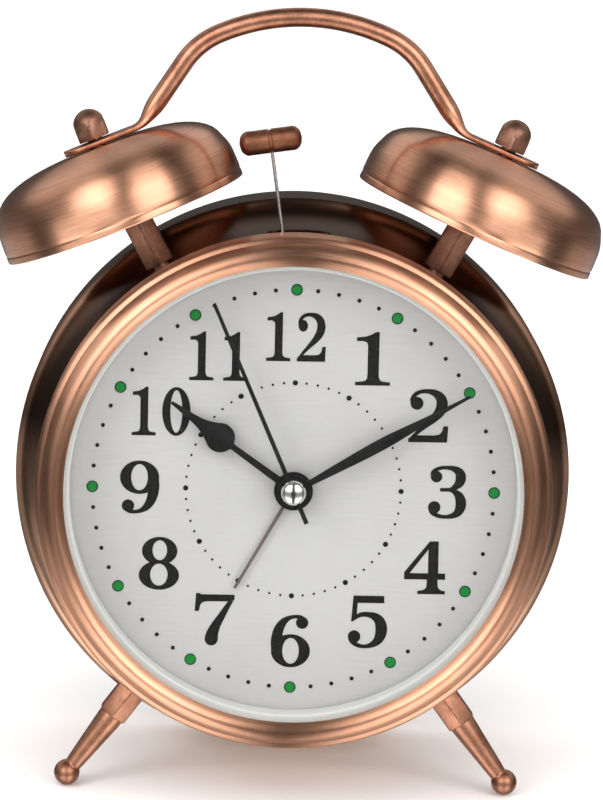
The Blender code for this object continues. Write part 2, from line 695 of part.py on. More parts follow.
# --- Movement ---------------------------------------------------------------------------
def make_movement_case():
    half, (low, high), wall = MOVEMENT_X, MOVEMENT_Z, MOVEMENT_WALL
    (front, back), split = MOVEMENT_Y, MOVEMENT_SPLIT_Y
    hollow = ((wall - half, half - wall), (low + wall, high - wall))
    shell = block("movement_front", (-half, half), (front, split), (low, high))
    bush = shaft("bush", TUBES["bush"][1], (-0.3, front + 0.6), segments=24)
    inside = block("front_hollow", hollow[0], (front + wall, split + 2), hollow[1])
    bore = shaft("bush_bore", TUBES["bush"][0], (-2, front + 3), segments=20)
    finish(cut(join(shell, bush), inside, bore), WHITE_PLASTIC)
    shell = block("movement_rear", (-half, half), (split + GAP, back), (low, high))
    inside = block("rear_hollow", hollow[0], (split - 2, back - wall), hollow[1])
    holes = [shaft("arbor_hole", ARBOR_HOLE_R, (split, back + 1), (x, 0))
             for x in (-KNOB_X, KNOB_X)]
    finish(cut(shell, inside, *holes), BLACK_PLASTIC)


def make_going_train():
    centre = (0.0, 0.0)
    arbor = shaft("second_arbor", SECOND_ARBOR_R, (-4.9, 16.0), segments=12)
    finish(join(arbor,
                pinion("second_pinion", SECOND_TO_THIRD, (10.9, 12.5), centre, THIRD_AT),
                wheel("second_wheel", IDLER_TO_SECOND, (12.2, 12.9), centre, IDLER_AT)), STEEL)
    third = shaft("third_wheel", PIN_R, (8.6, 14.5), THIRD_AT, segments=12)
    finish(join(third,
                wheel("third_teeth", SECOND_TO_THIRD, (11.0, 11.7), THIRD_AT, centre),
                pinion("third_pinion", THIRD_TO_CENTRE, (9.2, 11.3), THIRD_AT, centre)),
           WHITE_PLASTIC)
    finish(wheel("centre_wheel", THIRD_TO_CENTRE, (9.4, 10.1), centre, THIRD_AT, bore=1.3),
           WHITE_PLASTIC)
    idler = shaft("idler_wheel", PIN_R, (11.2, 16.0), IDLER_AT, segments=12)
    finish(join(idler,
                pinion("idler_pinion", IDLER_TO_SECOND, (12.0, 13.9), IDLER_AT, centre),
                wheel("idler_teeth", ROTOR_TO_IDLER, (13.6, 14.3), IDLER_AT, ROTOR_AT)),
           WHITE_PLASTIC)
    rotor = shaft("rotor", PIN_R, (8.0, 16.0), ROTOR_AT, segments=12)
    finish(join(rotor, shaft("magnet", 2.8, (8.6, 11.6), ROTOR_AT, segments=20),
                pinion("rotor_pinion", ROTOR_TO_IDLER, (13.2, 14.5), ROTOR_AT, IDLER_AT)),
           GREY_PAINT)


def make_motion_work():
    centre, setter, alarm = (0.0, 0.0), (-KNOB_X, 0.0), (KNOB_X, 0.0)
    cannon = tube("cannon_pinion", "minute", (-3.3, 10.6))
    teeth = pinion("cannon_teeth", MINUTE_TO_SETTER, (7.7, 8.7), centre, setter, bore=0.85)
    finish(join(cannon, teeth), BRASS)
    hour = tube("hour_wheel", "hour", (-2.3, 7.45))
    finish(join(hour, wheel("hour_teeth", SETTER_TO_HOUR, (6.5, 7.3), centre, setter, bore=1.5)),
           WHITE_PLASTIC)
    disc = tube("alarm_wheel", "alarm", (-1.1, 6.15))
    finish(join(disc, wheel("alarm_teeth", ALARM_SETTER, (5.2, 6.0), centre, alarm, bore=2.15)),
           WHITE_PLASTIC)
    arbor = shaft("time_arbor", ARBOR_R, (5.3, ARBOR_END), setter, segments=12)
    finish(join(arbor,
                pinion("setter_pinion", SETTER_TO_HOUR, (6.3, 8.2), setter, centre),
                wheel("setter_wheel", MINUTE_TO_SETTER, (7.8, 8.6), setter, centre)),
           WHITE_PLASTIC)
    arbor = shaft("alarm_arbor", ARBOR_R, (5.25, ARBOR_END), alarm, segments=12)
    finish(join(arbor, pinion("alarm_pinion", ALARM_SETTER, (5.1, 6.2), alarm, centre)),
           WHITE_PLASTIC)
    for name, x in (("time_knob", -KNOB_X), ("alarm_knob", KNOB_X)):
        make_knob(name, x)


def make_knob(name, x):
    """A fluted knob pressed over the end of its arbor."""
    flutes = 12
    outline = []
    for i in range(flutes):
        for part, radius in ((0.0, KNOB_R), (0.32, KNOB_R), (0.5, KNOB_R - 0.35),
                             (0.82, KNOB_R - 0.35)):
            angle = 2 * math.pi * (i + part) / flutes
            outline.append((radius * math.cos(angle), radius * math.sin(angle)))
    knob = plate(name, [outline], (31.2, 36.6), (x, 0))
    bore = shaft("knob_bore", ARBOR_R + 0.25, (30, ARBOR_END + GAP), (x, 0), segments=12)
    finish(cut(knob, bore), BLACK_PLASTIC)


def make_electrics():
    finish(block("circuit_board", (-20, 20), (5.2, 6.2), (13.0, 24.5)), GREEN_BOARD)
    crystal = rod("quartz_crystal", 1.4, (15.0, 21.0), at=(16, 8.0, 0), turn=UPRIGHT)
    finish(crystal, STEEL)
    outline = [(-12, 10.6), (12, 10.6), (12, 23.6), (9.4, 23.6), (9.4, 18.4), (-9.4, 18.4),
               (-9.4, 23.6), (-12, 23.6)]
    finish(plate("stator", [outline, ring(3.2, 20, ROTOR_AT)], (9.6, 10.4)), STEEL)
    at = (0, 13.3, 21.2)
    finish(rod("coil_core", 0.9, (-11.5, 11.5), at=at, turn=ALONG_X, segments=12), STEEL)
    winding = [(2.6, 8), (2.6, -8), (1.2, -8), (1.2, 8)]
    finish(lathe("coil_winding", winding, at=at, turn=ALONG_X, steps=20), WINDING)


# --- Hands ------------------------------------------------------------------------------
def hand(name, outline, boss, bore, depth, angle, look):
    """A flat hand that points up its own outline, turned to its place on the dial."""
    turn = Euler((math.pi / 2, angle, 0), "XYZ")
    blade = plate(name, [outline], depth, turn=turn)
    disc = plate("boss", [ring(boss, 28)], depth, turn=turn)
    hole = shaft("hand_bore", bore, (depth[0] - 1, depth[1] + 1), segments=20)
    return finish(cut(join(blade, disc), hole), look)


def mirrored(half):
    """A closed outline from its right half, listed from the bottom up."""
    return half + [(-x, y) for x, y in half[::-1] if x > 0]


def make_hands():
    hour = [(0.8, 0.0), (0.58, 15.6)]
    bulb = 3.0
    hour += [(bulb * math.sin(a), 18.4 - bulb * math.cos(a))
             for a in (math.radians(d) for d in (30, 55, 80, 105, 130))]
    hour += [(1.55, 21.9), (1.05, 23.6), (0.75, 25.6), (0.5, 28.4), (0.3, 30.6)]
    minute = [(0.6, 0.0), (0.62, 4.0), (0.85, 9.0), (1.12, 16.0), (1.18, 21.0), (1.0, 25.0),
              (0.62, 31.0), (0.42, 36.0), (0.28, 40.6)]
    second = [(0.46, -6.9), (0.46, 0.0), (0.36, 41.6)]
    alarm = [(0.38, 0.0), (0.28, 23.4)]
    hand("alarm_hand", mirrored(alarm), 3.3, 2.6, (-1.0, -0.65), ALARM_ANGLE, GREY_PAINT)
    hand("hour_hand", mirrored(hour), 3.95, 1.95, (-2.2, -1.8), HOUR_ANGLE, BLACK_PAINT)
    hand("minute_hand", mirrored(minute), 3.4, 1.3, (-3.2, -2.8), MINUTE_ANGLE, BLACK_PAINT)
    hand("second_hand", mirrored(second), 2.2, 0.65, (-4.2, -3.85), SECOND_ANGLE, BLACK_PAINT)
    dome = [(0, -5.95), (1.0, -5.8), (1.8, -5.45), (2.35, -4.9), (2.55, -4.45), (0.65, -4.45),
            (0.65, -5.2), (0, -5.2)]
    finish(lathe("hand_cap", depths(dome), steps=24), CHROME)


# --- Battery and switch -----------------------------------------------------------------
def make_battery():
    y, z = CELL_AT
    tray = block("battery_tray", (-TRAY_X, TRAY_X), TRAY_Y, TRAY_Z)
    end, side = TRAY_WALL
    hollow = block("tray_hollow", (end - TRAY_X, TRAY_X - end), (TRAY_Y[0] + side, TRAY_Y[1] + 2),
                   (TRAY_Z[0] + side, TRAY_Z[1] - side))
    finish(cut(tray, hollow), BLACK_PLASTIC)
    profile = [(0, 26.4), (2.7, 26.4), (2.7, 25.2), (6.4, 25.2), (CELL_R, 24.5),
               (CELL_R, -24.3), (6.6, -24.8), (0, -24.8)]
    finish(lathe("battery_cell", profile, at=(0, y, z), turn=ALONG_X, steps=24), CELL_WRAP)
    finish(block("battery_contact", (26.9, 27.5), (17, 26), (-36.5, -27)), STEEL)
    coil = bpy.data.curves.new("battery_spring", "CURVE")
    coil.dimensions = "3D"
    coil.bevel_depth = 0.35
    coil.bevel_resolution = 1
    coil.use_fill_caps = True
    turns, per_turn = 2.25, 12
    count = int(turns * per_turn) + 1
    spline = coil.splines.new("POLY")
    spline.points.add(count - 1)
    for i, point in enumerate(spline.points):
        part = i / (count - 1)
        angle = 2 * math.pi * turns * part
        radius = 3.6 - 1.2 * part
        point.co = (radius * math.cos(angle), radius * math.sin(angle), 2.2 * part, 1)
    mesh = mesh_of("battery_spring", coil)
    finish(add("battery_spring", mesh, (-27.8, y, z), ALONG_X), STEEL)
    door = block("battery_door", (-DOOR_X, DOOR_X), DOOR_Y, DOOR_Z)
    ribs = [block("grip_groove", (-6, 6), (31.8, 33), (-25.6 - 1.6 * i, -24.8 - 1.6 * i))
            for i in range(4)]
    finish(cut(door, *ribs), BLACK_PLASTIC)


def make_switch():
    x, z = SWITCH_AT
    slider = block("alarm_switch", (x - 2.6, x + 2.6), (30.8, 33.2), (z - 2.2, z + 2.2))
    stem = block("stem", (x - 1.3, x + 1.3), (27.6, 31.4), (z - 1.0, z + 1.0))
    flange = block("flange", (x - 2.4, x + 2.4), (27.0, 28.6), (z - 2.4, z + 2.4))
    groove = block("thumb_groove", (x - 0.5, x + 0.5), (32.6, 34), (z - 3, z + 3))
    finish(cut(join(slider, stem, flange), groove), BLACK_PLASTIC)


# --- Standing on the table --------------------------------------------------------------
def lean_angle():
    """How far the clock tips back for its feet and its rear rim to touch the table."""
    ball_z = -FOOT_BALL_AT * math.cos(FOOT_ANGLE)
    back = RIM_Y - RIM_EDGE[1] - FOOT_Y
    drop = -ball_z - BAND_R
    return math.atan2(drop, back) + math.asin(FOOT_BALL_R / math.hypot(back, drop))


def stand_on_table():
    """Moves the clock so that the middle of its base is at the origin."""
    bpy.context.view_layer.update()
    graph = bpy.context.evaluated_depsgraph_get()
    corners = []
    for obj in CLOCK.objects:
        if obj.type != "MESH":
            continue
        piece = obj.evaluated_get(graph)
        mesh = piece.to_mesh()
        points = np.empty(len(mesh.vertices) * 3)
        mesh.vertices.foreach_get("co", points)
        turned = points.reshape(-1, 3) @ np.array(piece.matrix_world.to_3x3()).T
        points = turned + np.array(piece.matrix_world.translation)
        corners += [points.min(axis=0), points.max(axis=0)]
        piece.to_mesh_clear()
    low, high = np.min(corners, axis=0), np.max(corners, axis=0)
    middle = (low + high) / 2
    FRAME.location = (-middle[0], -middle[1], -low[2])
    bpy.context.view_layer.update()


clear_scene()
CLOCK = collection("twin_bell_alarm_clock")
CUTTERS = collection("cutters")
FRAME = empty("clock_frame", None, turn=Euler((-lean_angle(), 0, 0)))

make_case()
make_front()
make_rear_cover()
make_dial_plate()
make_cover_screws()
make_feet()
make_posts()
make_bells()
make_handle()
make_hammer()
make_hammer_drive()
make_movement_case()
make_going_train()
make_motion_work()
make_electrics()
make_hands()
make_battery()
make_switch()
stand_on_table()
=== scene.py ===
"""The looks of a copper twin-bell alarm clock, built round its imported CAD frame.

Sizes are millimetres in the clock's own frame, which the frame's joints give: the origin is
the centre of the dial's front face, +X is to the right seen from the front, +Y runs back
along the drum, and +Z points to twelve o'clock. Meshes are turned into metres as they are made.
"""
import json
import math

import bmesh
import bpy
from mathutils import Euler, Matrix, Quaternion, Vector


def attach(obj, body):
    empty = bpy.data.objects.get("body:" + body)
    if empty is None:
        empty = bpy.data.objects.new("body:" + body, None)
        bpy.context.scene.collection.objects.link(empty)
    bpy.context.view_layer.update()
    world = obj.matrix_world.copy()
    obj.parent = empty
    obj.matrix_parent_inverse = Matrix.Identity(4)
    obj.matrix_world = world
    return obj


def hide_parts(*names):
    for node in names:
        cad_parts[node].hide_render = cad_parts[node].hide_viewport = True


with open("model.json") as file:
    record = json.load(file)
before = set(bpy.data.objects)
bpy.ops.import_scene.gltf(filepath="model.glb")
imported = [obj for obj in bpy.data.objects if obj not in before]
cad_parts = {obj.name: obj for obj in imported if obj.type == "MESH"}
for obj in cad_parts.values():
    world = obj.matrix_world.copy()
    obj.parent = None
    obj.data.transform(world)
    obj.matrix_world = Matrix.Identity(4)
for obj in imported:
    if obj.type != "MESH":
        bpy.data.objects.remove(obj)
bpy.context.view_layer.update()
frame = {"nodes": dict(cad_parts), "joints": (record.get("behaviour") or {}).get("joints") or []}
MM = 0.001

# --- The clock's frame, from the axis that the hands share ---
JOINT_DEPTH = 10.0
HANDS_JOINT = next(j for j in frame["joints"] if j["name"] == "second_hand_spin")
BACK = Vector(HANDS_JOINT["axis"])
DIAL_CENTRE = Vector(HANDS_JOINT["pos_m"]) - BACK * JOINT_DEPTH * MM
ACROSS = Vector((1, 0, 0))
CLOCK = Matrix.Translation(DIAL_CENTRE) @ Matrix(
    (ACROSS, BACK, ACROSS.cross(BACK))).transposed().to_4x4()

# --- Case, bezel and dial ---
COLLAR_R, BAND_R, SHEET = 50.8, 57.5, 1.0
COLLAR_FRONT_Y = -5.6
FLARE_Y = (2.0, 21.5)
RIM_Y = 40.0
RIM_LIP_R = 55.6
SEAT_Y = (2.4, 3.4)
SEAT_R = 46.0
DIAL_R, DIAL_Y = 49.3, (0.0, 0.8)
CENTRE_HOLE_R = 3.3
LENS_R, LENS_Y = 49.2, (-7.75, -6.5)
SPACER_Y, SPACER_IN_R = (-6.1, -0.3), 45.3
COVER_Y, COVER_R = (29.0, 30.5), 55.2
COVER_SKIRT_R, COVER_SKIRT_Y = (53.8, 55.0), 24.0
TURNS = 160

# --- Stands, bells and handle ---
STUD_R, STUD_HOLE_R = 1.6, 1.95
FOOT_ANGLE, FOOT_Y = math.radians(36.52), 6.0
FOOT_BALL_AT, FOOT_BALL_R = 75.7, 2.65
POST_Y, POST_FOOT, POST_TILT = 10.0, (27.8, 43.5), math.radians(29.0)
BELL_TILT, BELL_RIM = math.radians(22.5), (35.35, 53.3)
BELL_R, BELL_H, BELL_FLAT_R, BELL_WALL = 25.5, 15.75, 7.0, 1.0
# How far a bell's wall may lean out sideways from the middle of its rim, as in the CAD.
BELL_REACH = 25.97
# A bell's side follows (r/R)^OUT + (h/H)^UP = 1, which gives the height of its flat crown.
BELL_OUT, BELL_UP = 3, 4.1
BELL_FLAT = BELL_H * (1 - (BELL_FLAT_R / BELL_R) ** BELL_OUT) ** (1 / BELL_UP)
NUT_ACROSS, NUT_H = 6.2, 6.2
HANDLE_TOP_Z, HANDLE_ROD_R = 95.1, 1.95
# The loop bends twice on each side: (radius, heading below level at its end).
HANDLE_BENDS = ((42.0, math.radians(24.5)), (16.0, math.radians(57.0)))
LUG_BEND_R, LUG_PAST_STUD, FLAT_LEAD = 6.0, 6.9, 4.0
LUG_HALF_W, LUG_HALF_T = 3.75, 0.65
GAP = 0.3

# --- Hammer ---
PIVOT, HAMMER_LEAN = (-0.6, 33.0), math.radians(-8.85)
HAMMER_REACH, HAMMER_R, HAMMER_L, WIRE_R = 37.4, 2.48, 13.4, 0.35
# The bob's ends stop this far inside the CAD's, so that they only just kiss the bells.
BOB_CLEAR = 0.3

# --- Knobs, pillars, battery and switch ---
KNOB_X, KNOB_R, KNOB_Y = 12.0, 5.0, (31.2, 36.6)
PILLARS = ((-26.0, 32.0), (26.0, 32.0), (0.0, -43.3))
SCREW_HOLE_R = 1.45
TRAY_Z = (-40.5, -23.0)
DOOR = ((-30.0, 30.0), (30.8, 32.3), (-40.3, -22.6))
SWITCH_X = -3.0

# --- Hands ---
HOUR_ANGLE, MINUTE_ANGLE = math.radians(305.0), math.radians(60.0)
SECOND_ANGLE, ALARM_ANGLE = math.radians(336.0), math.radians(209.3)

# --- Print on the dial ---
PRINT_Y = (0.05, -0.05)
NUMERAL_R = 31.2
NUMERAL_H = {1: 10.9, 2: 9.95}
OUTER_TRACK_R, INNER_TRACK_R = 40.76, 21.85
DOT_R = {"outer": 0.43, "hour": 0.54, "inner": 0.25, "outline": 1.2, "green": 0.98}

FACING = Euler((math.pi / 2, 0, 0))
# The print sits a hair anticlockwise of the case.
PRINT_TURN = Euler((math.pi / 2, math.radians(-0.45), 0))
ALONG_X = Euler((0, math.pi / 2, 0))
UPRIGHT = Euler((0, 0, 0))
SIDES = (("left", -1), ("right", 1))
SHARP_FROM = math.radians(32)


# --- Mesh helpers ---
def place(at=(0, 0, 0), turn=UPRIGHT, parent=None):
    """The matrix of a piece at a place in the clock's frame, or in a parent's."""
    return (parent or CLOCK) @ Matrix.Translation(Vector(at) * MM) @ turn.to_matrix().to_4x4()


def made_of(name, shape, matrix):
    """An object from a bmesh in millimetres."""
    bmesh.ops.scale(shape, verts=shape.verts, vec=(MM, MM, MM))
    mesh = bpy.data.meshes.new(name)
    shape.to_mesh(mesh)
    shape.free()
    made = bpy.data.objects.new(name, mesh)
    bpy.context.scene.collection.objects.link(made)
    made.matrix_world = matrix
    return made


def skin(shape, rings):
    """Faces from each ring of vertices to the next; a ring may be a single vertex."""
    for one, two in zip(rings, rings[1:]):
        sides = max(len(one), len(two))
        for i in range(sides):
            j = (i + 1) % sides
            corners = [one[i % len(one)], one[j % len(one)], two[j % len(two)],
                       two[i % len(two)]]
            shape.faces.new(list(dict.fromkeys(corners)))
    bmesh.ops.recalc_face_normals(shape, faces=shape.faces)


def arc(radius, height, degrees, rise=None):
    """Points (radius, height) of an arc about the axis, at angles down from its top."""
    rise = radius if rise is None else rise
    return [(radius * math.sin(math.radians(d)), height + rise * math.cos(math.radians(d)))
            for d in degrees]


def lathe(name, profile, at=(0, 0, 0), turn=FACING, steps=TURNS, parent=None):
    """Turns a profile of (radius, height) about Z. It closes on itself or on the axis."""
    shape = bmesh.new()
    rings = []
    for radius, height in profile:
        if radius == 0:
            rings.append([shape.verts.new((0, 0, height))])
            continue
        angles = [2 * math.pi * i / steps for i in range(steps)]
        rings.append([shape.verts.new((radius * math.cos(a), radius * math.sin(a), height))
                      for a in angles])
    skin(shape, rings + rings[:1] if profile[0][0] > 0 else rings)
    return made_of(name, shape, place(at, turn, parent))


def depths(profile):
    """A profile of (radius, depth behind the dial) for a piece that faces forward."""
    return [(radius, -depth) for radius, depth in profile]


def rounded(profile, radius, steps=4, closed=True):
    """The profile with its corners rounded off; a radius per corner may be given."""
    count = len(profile)
    radii = radius if isinstance(radius, (list, tuple)) else [radius] * count
    points = []
    for i, (corner, bend) in enumerate(zip(profile, radii)):
        at = Vector(corner)
        last = not closed and i in (0, count - 1)
        before, after = Vector(profile[i - 1]) - at, Vector(profile[(i + 1) % count]) - at
        reach = min(bend, 0.45 * before.length, 0.45 * after.length)
        if last or reach < 1e-4 or at.x == 0:
            points.append((at.x, at.y))
            continue
        start, end = at + before.normalized() * reach, at + after.normalized() * reach
        for k in range(steps + 1):
            t = k / steps
            point = start * (1 - t) ** 2 + at * 2 * t * (1 - t) + end * t ** 2
            points.append((point.x, point.y))
    return points


def smooth(points, steps=5):
    """A curve through the points, of any number of values each (Catmull-Rom)."""
    ends = [points[0]] + list(points) + [points[-1]]
    out = []
    for a, b, c, d in zip(ends, ends[1:], ends[2:], ends[3:]):
        for k in range(steps):
            t = k / steps
            out.append(tuple(0.5 * (2 * q + (r - p) * t + (2 * p - 5 * q + 4 * r - s) * t * t
                                    + (3 * q - p - 3 * r + s) * t ** 3)
                             for p, q, r, s in zip(a, b, c, d)))
    return out + [tuple(points[-1])]


def rod(name, radius, ends, at=(0, 0, 0), turn=FACING, sides=48, parent=None, edge=0.0):
    """A bar along its own Z between two heights, with chamfered rims if edge is given."""
    profile = [(0, ends[1]), (radius - edge, ends[1]), (radius, ends[1] - edge),
               (radius, ends[0] + edge), (radius - edge, ends[0]), (0, ends[0])]
    if not edge:
        profile = [(0, ends[1]), (radius, ends[1]), (radius, ends[0]), (0, ends[0])]
    made = lathe(name, profile, at, turn, sides, parent)
    if sides == 6:
        made.data.transform(Matrix.Rotation(math.pi / 2, 4, "Z"))
    return made


def around(middle, half):
    """The limits that lie half to each side of a middle."""
    return middle - half, middle + half


def block(name, x, y, z, edge=0.0):
    """A box between three pairs of limits, with rounded edges if edge is given."""
    shape = bmesh.new()
    bmesh.ops.create_cube(shape, size=1.0)
    bmesh.ops.scale(shape, verts=shape.verts, vec=(x[1] - x[0], y[1] - y[0], z[1] - z[0]))
    middle = ((x[0] + x[1]) / 2, (y[0] + y[1]) / 2, (z[0] + z[1]) / 2)
    if edge:
        bmesh.ops.bevel(shape, geom=shape.edges[:], offset=edge, segments=3,
                        profile=0.5, affect="EDGES", clamp_overlap=True)
    return made_of(name, shape, place(middle))


def ring(radius, count=64, centre=(0.0, 0.0), stretch=1.0):
    """The points of a circle, or of an ellipse stretch times as tall as it is wide."""
    turns = [2 * math.pi * i / count for i in range(count)]
    return [(centre[0] + radius * math.cos(a), centre[1] + radius * stretch * math.sin(a))
            for a in turns]


def prism(shape, outline, low, high):
    """Adds to shape a closed outline in XY, raised from one height to another."""
    area = sum(a[0] * b[1] - b[0] * a[1] for a, b in zip(outline, outline[1:] + outline[:1]))
    outline = outline if area > 0 else outline[::-1]
    bottom = [shape.verts.new((x, y, low)) for x, y in outline]
    top = [shape.verts.new((x, y, high)) for x, y in outline]
    shape.faces.new(top)
    shape.faces.new(bottom[::-1])
    for i in range(len(outline)):
        j = (i + 1) % len(outline)
        shape.faces.new((bottom[i], bottom[j], top[j], top[i]))


def plate(name, outline, depth, turn=FACING):
    """A flat piece from a closed outline, raised between two depths behind the dial."""
    shape = bmesh.new()
    prism(shape, outline, -depth[1], -depth[0])
    return made_of(name, shape, place(turn=turn))


def bake(obj):
    """Makes an object's modifiers part of its mesh."""
    bpy.context.view_layer.update()
    done = obj.evaluated_get(bpy.context.evaluated_depsgraph_get())
    mesh = bpy.data.meshes.new_from_object(done)
    obj.modifiers.clear()
    obj.data = mesh
    return obj


def combine(obj, operation, *others):
    """Applies a boolean with each of the other pieces, which are used up."""
    for other in others:
        modifier = obj.modifiers.new("shape", "BOOLEAN")
        modifier.operation = operation
        modifier.solver = "EXACT"
        modifier.use_self = operation == "UNION"
        modifier.object = other
    bake(obj)
    for other in others:
        bpy.data.objects.remove(other, do_unlink=True)
    return obj


def join(obj, *others):
    return combine(obj, "UNION", *others)


def cut(obj, *others):
    return combine(obj, "DIFFERENCE", *others)


def bevel(obj, width, segments=2, angle=40):
    """Rounds the edges that are sharper than an angle."""
    modifier = obj.modifiers.new("edges", "BEVEL")
    modifier.width = width * MM
    modifier.segments = segments
    modifier.limit_method = "ANGLE"
    modifier.angle_limit = math.radians(angle)
    modifier.use_clamp_overlap = True
    return bake(obj)


def finish(obj, look, body="clock", *, stands_for=()):
    """Shades a piece, gives it its material, and sets what it rides on and replaces."""
    obj.data.materials.clear()
    obj.data.materials.append(LOOKS[look])
    obj.data.shade_smooth()
    obj.data.set_sharp_from_angle(angle=SHARP_FROM)
    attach(obj, body)
    if stands_for:
        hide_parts(*stands_for)


def towards_rim(angle):
    """A turn that points a piece's Z away from the dial's centre, clockwise from twelve."""
    return Euler((0, angle, 0))


# --- Materials ---
def node(tree, kind, settings=None, **inputs):
    """A shader node. An input is named by its socket, or i0, i1... by its number."""
    made = tree.nodes.new(kind)
    for key, value in (settings or {}).items():
        setattr(made, key, value)
    for key, value in inputs.items():
        numbered = key[0] == "i" and key[1:].isdigit()
        socket = made.inputs[int(key[1:]) if numbered else key.replace("_", " ")]
        if isinstance(value, bpy.types.NodeSocket):
            tree.links.new(value, socket)
        else:
            socket.default_value = value
    return made


def math_node(tree, operation, *values):
    inputs = {f"i{i}": value for i, value in enumerate(values)}
    return node(tree, "ShaderNodeMath", {"operation": operation}, **inputs).outputs[0]


def scaled(tree, where, x, y, z):
    """Coordinates stretched along each axis."""
    return node(tree, "ShaderNodeVectorMath", {"operation": "MULTIPLY"}, i0=where,
                i1=(x, y, z)).outputs[0]


def noise(tree, where, scale, detail=4.0, roughness=0.55):
    return node(tree, "ShaderNodeTexNoise", Vector=where, Scale=scale, Detail=detail,
                Roughness=roughness).outputs["Fac"]


def fit(tree, value, low, high, to_low=0.0, to_high=1.0):
    """Value mapped from one range to another, smoothly and without running past it."""
    return node(tree, "ShaderNodeMapRange", {"interpolation_type": "SMOOTHSTEP"}, i0=value,
                i1=low, i2=high, i3=to_low, i4=to_high).outputs[0]


def blend(tree, factor, one, two):
    """A mix of two colours, each a socket or an (r, g, b)."""
    one, two = [value if isinstance(value, bpy.types.NodeSocket) else (*value, 1)
                for value in (one, two)]
    # The Mix node's inputs 6 and 7 are its two colours, and its output 2 is their mix.
    return node(tree, "ShaderNodeMix", {"data_type": "RGBA"}, i0=factor, i6=one,
                i7=two).outputs[2]


def start(name, metallic=0.0, **sockets):
    """A new Principled material, with its tree, shader and object coordinates."""
    made = bpy.data.materials.new(name)
    made.use_nodes = True
    tree = made.node_tree
    shader = tree.nodes["Principled BSDF"]
    shader.inputs["Metallic"].default_value = metallic
    for key, value in sockets.items():
        shader.inputs[key.replace("_", " ")].default_value = value
    where = node(tree, "ShaderNodeTexCoord").outputs["Object"]
    return made, tree, shader, where


def drive(tree, shader, colour, roughness, height, strength, distance):
    """Wires colour, a roughness of (pattern, how much it adds, least), and bumps."""
    tree.links.new(colour, shader.inputs["Base Color"])
    tree.links.new(math_node(tree, "MULTIPLY_ADD", *roughness), shader.inputs["Roughness"])
    bump = node(tree, "ShaderNodeBump", Height=height, Strength=strength,
                Distance=distance * MM)
    tree.links.new(bump.outputs["Normal"], shader.inputs["Normal"])


def spun_metal(name, bright, dark, roughness, lines=4200.0, around=4.0, anisotropy=0.95,
               coat=0.1, slope=-1.0, stained=0.3, painted_shade=None):
    """Metal brushed in fine rings about the piece's Z, under a thin clear lacquer."""
    made, tree, shader, where = start(name, 1.0, Anisotropic=anisotropy,
                                      Anisotropic_Rotation=0.25, Coat_Weight=coat,
                                      Coat_Roughness=0.08)
    flat = scaled(tree, where, 1.0, 1.0, 0.0)
    radius = node(tree, "ShaderNodeVectorMath", {"operation": "LENGTH"},
                  i0=flat).outputs["Value"]
    outward = node(tree, "ShaderNodeVectorMath", {"operation": "NORMALIZE"}, i0=flat).outputs[0]
    height = node(tree, "ShaderNodeSeparateXYZ", i0=where).outputs["Z"]
    along = math_node(tree, "MULTIPLY_ADD", height, slope, radius)
    stacked = node(tree, "ShaderNodeCombineXYZ", Z=math_node(tree, "MULTIPLY", along, lines))
    rings = node(tree, "ShaderNodeVectorMath", {"operation": "MULTIPLY_ADD"}, i0=outward,
                 i1=(around, around, around), i2=stacked.outputs[0]).outputs[0]
    fine = noise(tree, rings, 1.0, detail=5.0, roughness=0.62)
    coarse = noise(tree, rings, 0.17, detail=2.0)
    stain = noise(tree, where, 55.0, detail=5.0, roughness=0.6)
    streaks = fit(tree, math_node(tree, "MULTIPLY_ADD", coarse, 0.2, fine), 0.4, 0.8, 0.35, 1.0)
    brushed = blend(tree, streaks, dark, bright)
    colour = blend(tree, fit(tree, stain, 0.42, 0.72, 0.0, stained), brushed, dark)
    # Painted shade: above the piece's middle (its local Y) the colour fades to a dark shade
    # colour, standing for the dark overhead that it mirrors.
    if painted_shade:
        up = node(tree, "ShaderNodeSeparateXYZ", i0=where).outputs["Y"]
        colour = blend(tree, fit(tree, up, 0.002, 0.012), colour, painted_shade)
    rough = (fine, 0.12, roughness - 0.06)
    drive(tree, shader, colour, rough, fine, 0.08, 0.02)
    tree.links.new(node(tree, "ShaderNodeTangent", {"direction_type": "RADIAL",
                                                    "axis": "Z"}).outputs[0],
                   shader.inputs["Tangent"])
    return made


def cast_metal(name, bright, dark, roughness, coat=0.15):
    """Antiqued metal with a satin grain and uneven darkening."""
    made, tree, shader, where = start(name, 1.0, Coat_Weight=coat, Coat_Roughness=0.3)
    patches = noise(tree, where, 260.0, detail=6.0, roughness=0.62)
    grain = noise(tree, where, 2600.0, detail=3.0, roughness=0.6)
    stretched = scaled(tree, where, 1.0, 1.0, 0.3)
    drawn = noise(tree, stretched, 3200.0, detail=3.0)
    tones = math_node(tree, "MULTIPLY_ADD", drawn, 0.35, math_node(
        tree, "MULTIPLY", patches, 0.85))
    colour = blend(tree, fit(tree, tones, 0.42, 0.78), dark, bright)
    rough = (grain, 0.22, roughness - 0.1)
    drive(tree, shader, colour, rough, math_node(tree, "ADD", grain, drawn), 0.22, 0.05)
    return made


def drawn_steel(name, bright=(0.62, 0.62, 0.64), dark=(0.33, 0.32, 0.33), roughness=0.3,
                scale=900.0):
    """Plain metal with faint scratches."""
    made, tree, shader, where = start(name, 1.0)
    stretched = scaled(tree, where, 0.1, 1.0, 1.0)
    scratches = noise(tree, stretched, scale * 3, detail=4.0, roughness=0.65)
    cloud = noise(tree, where, scale / 8, detail=3.0)
    colour = blend(tree, fit(tree, scratches, 0.3, 0.7), dark, bright)
    rough = (cloud, 0.2, roughness - 0.08)
    drive(tree, shader, colour, rough, scratches, 0.08, 0.02)
    return made


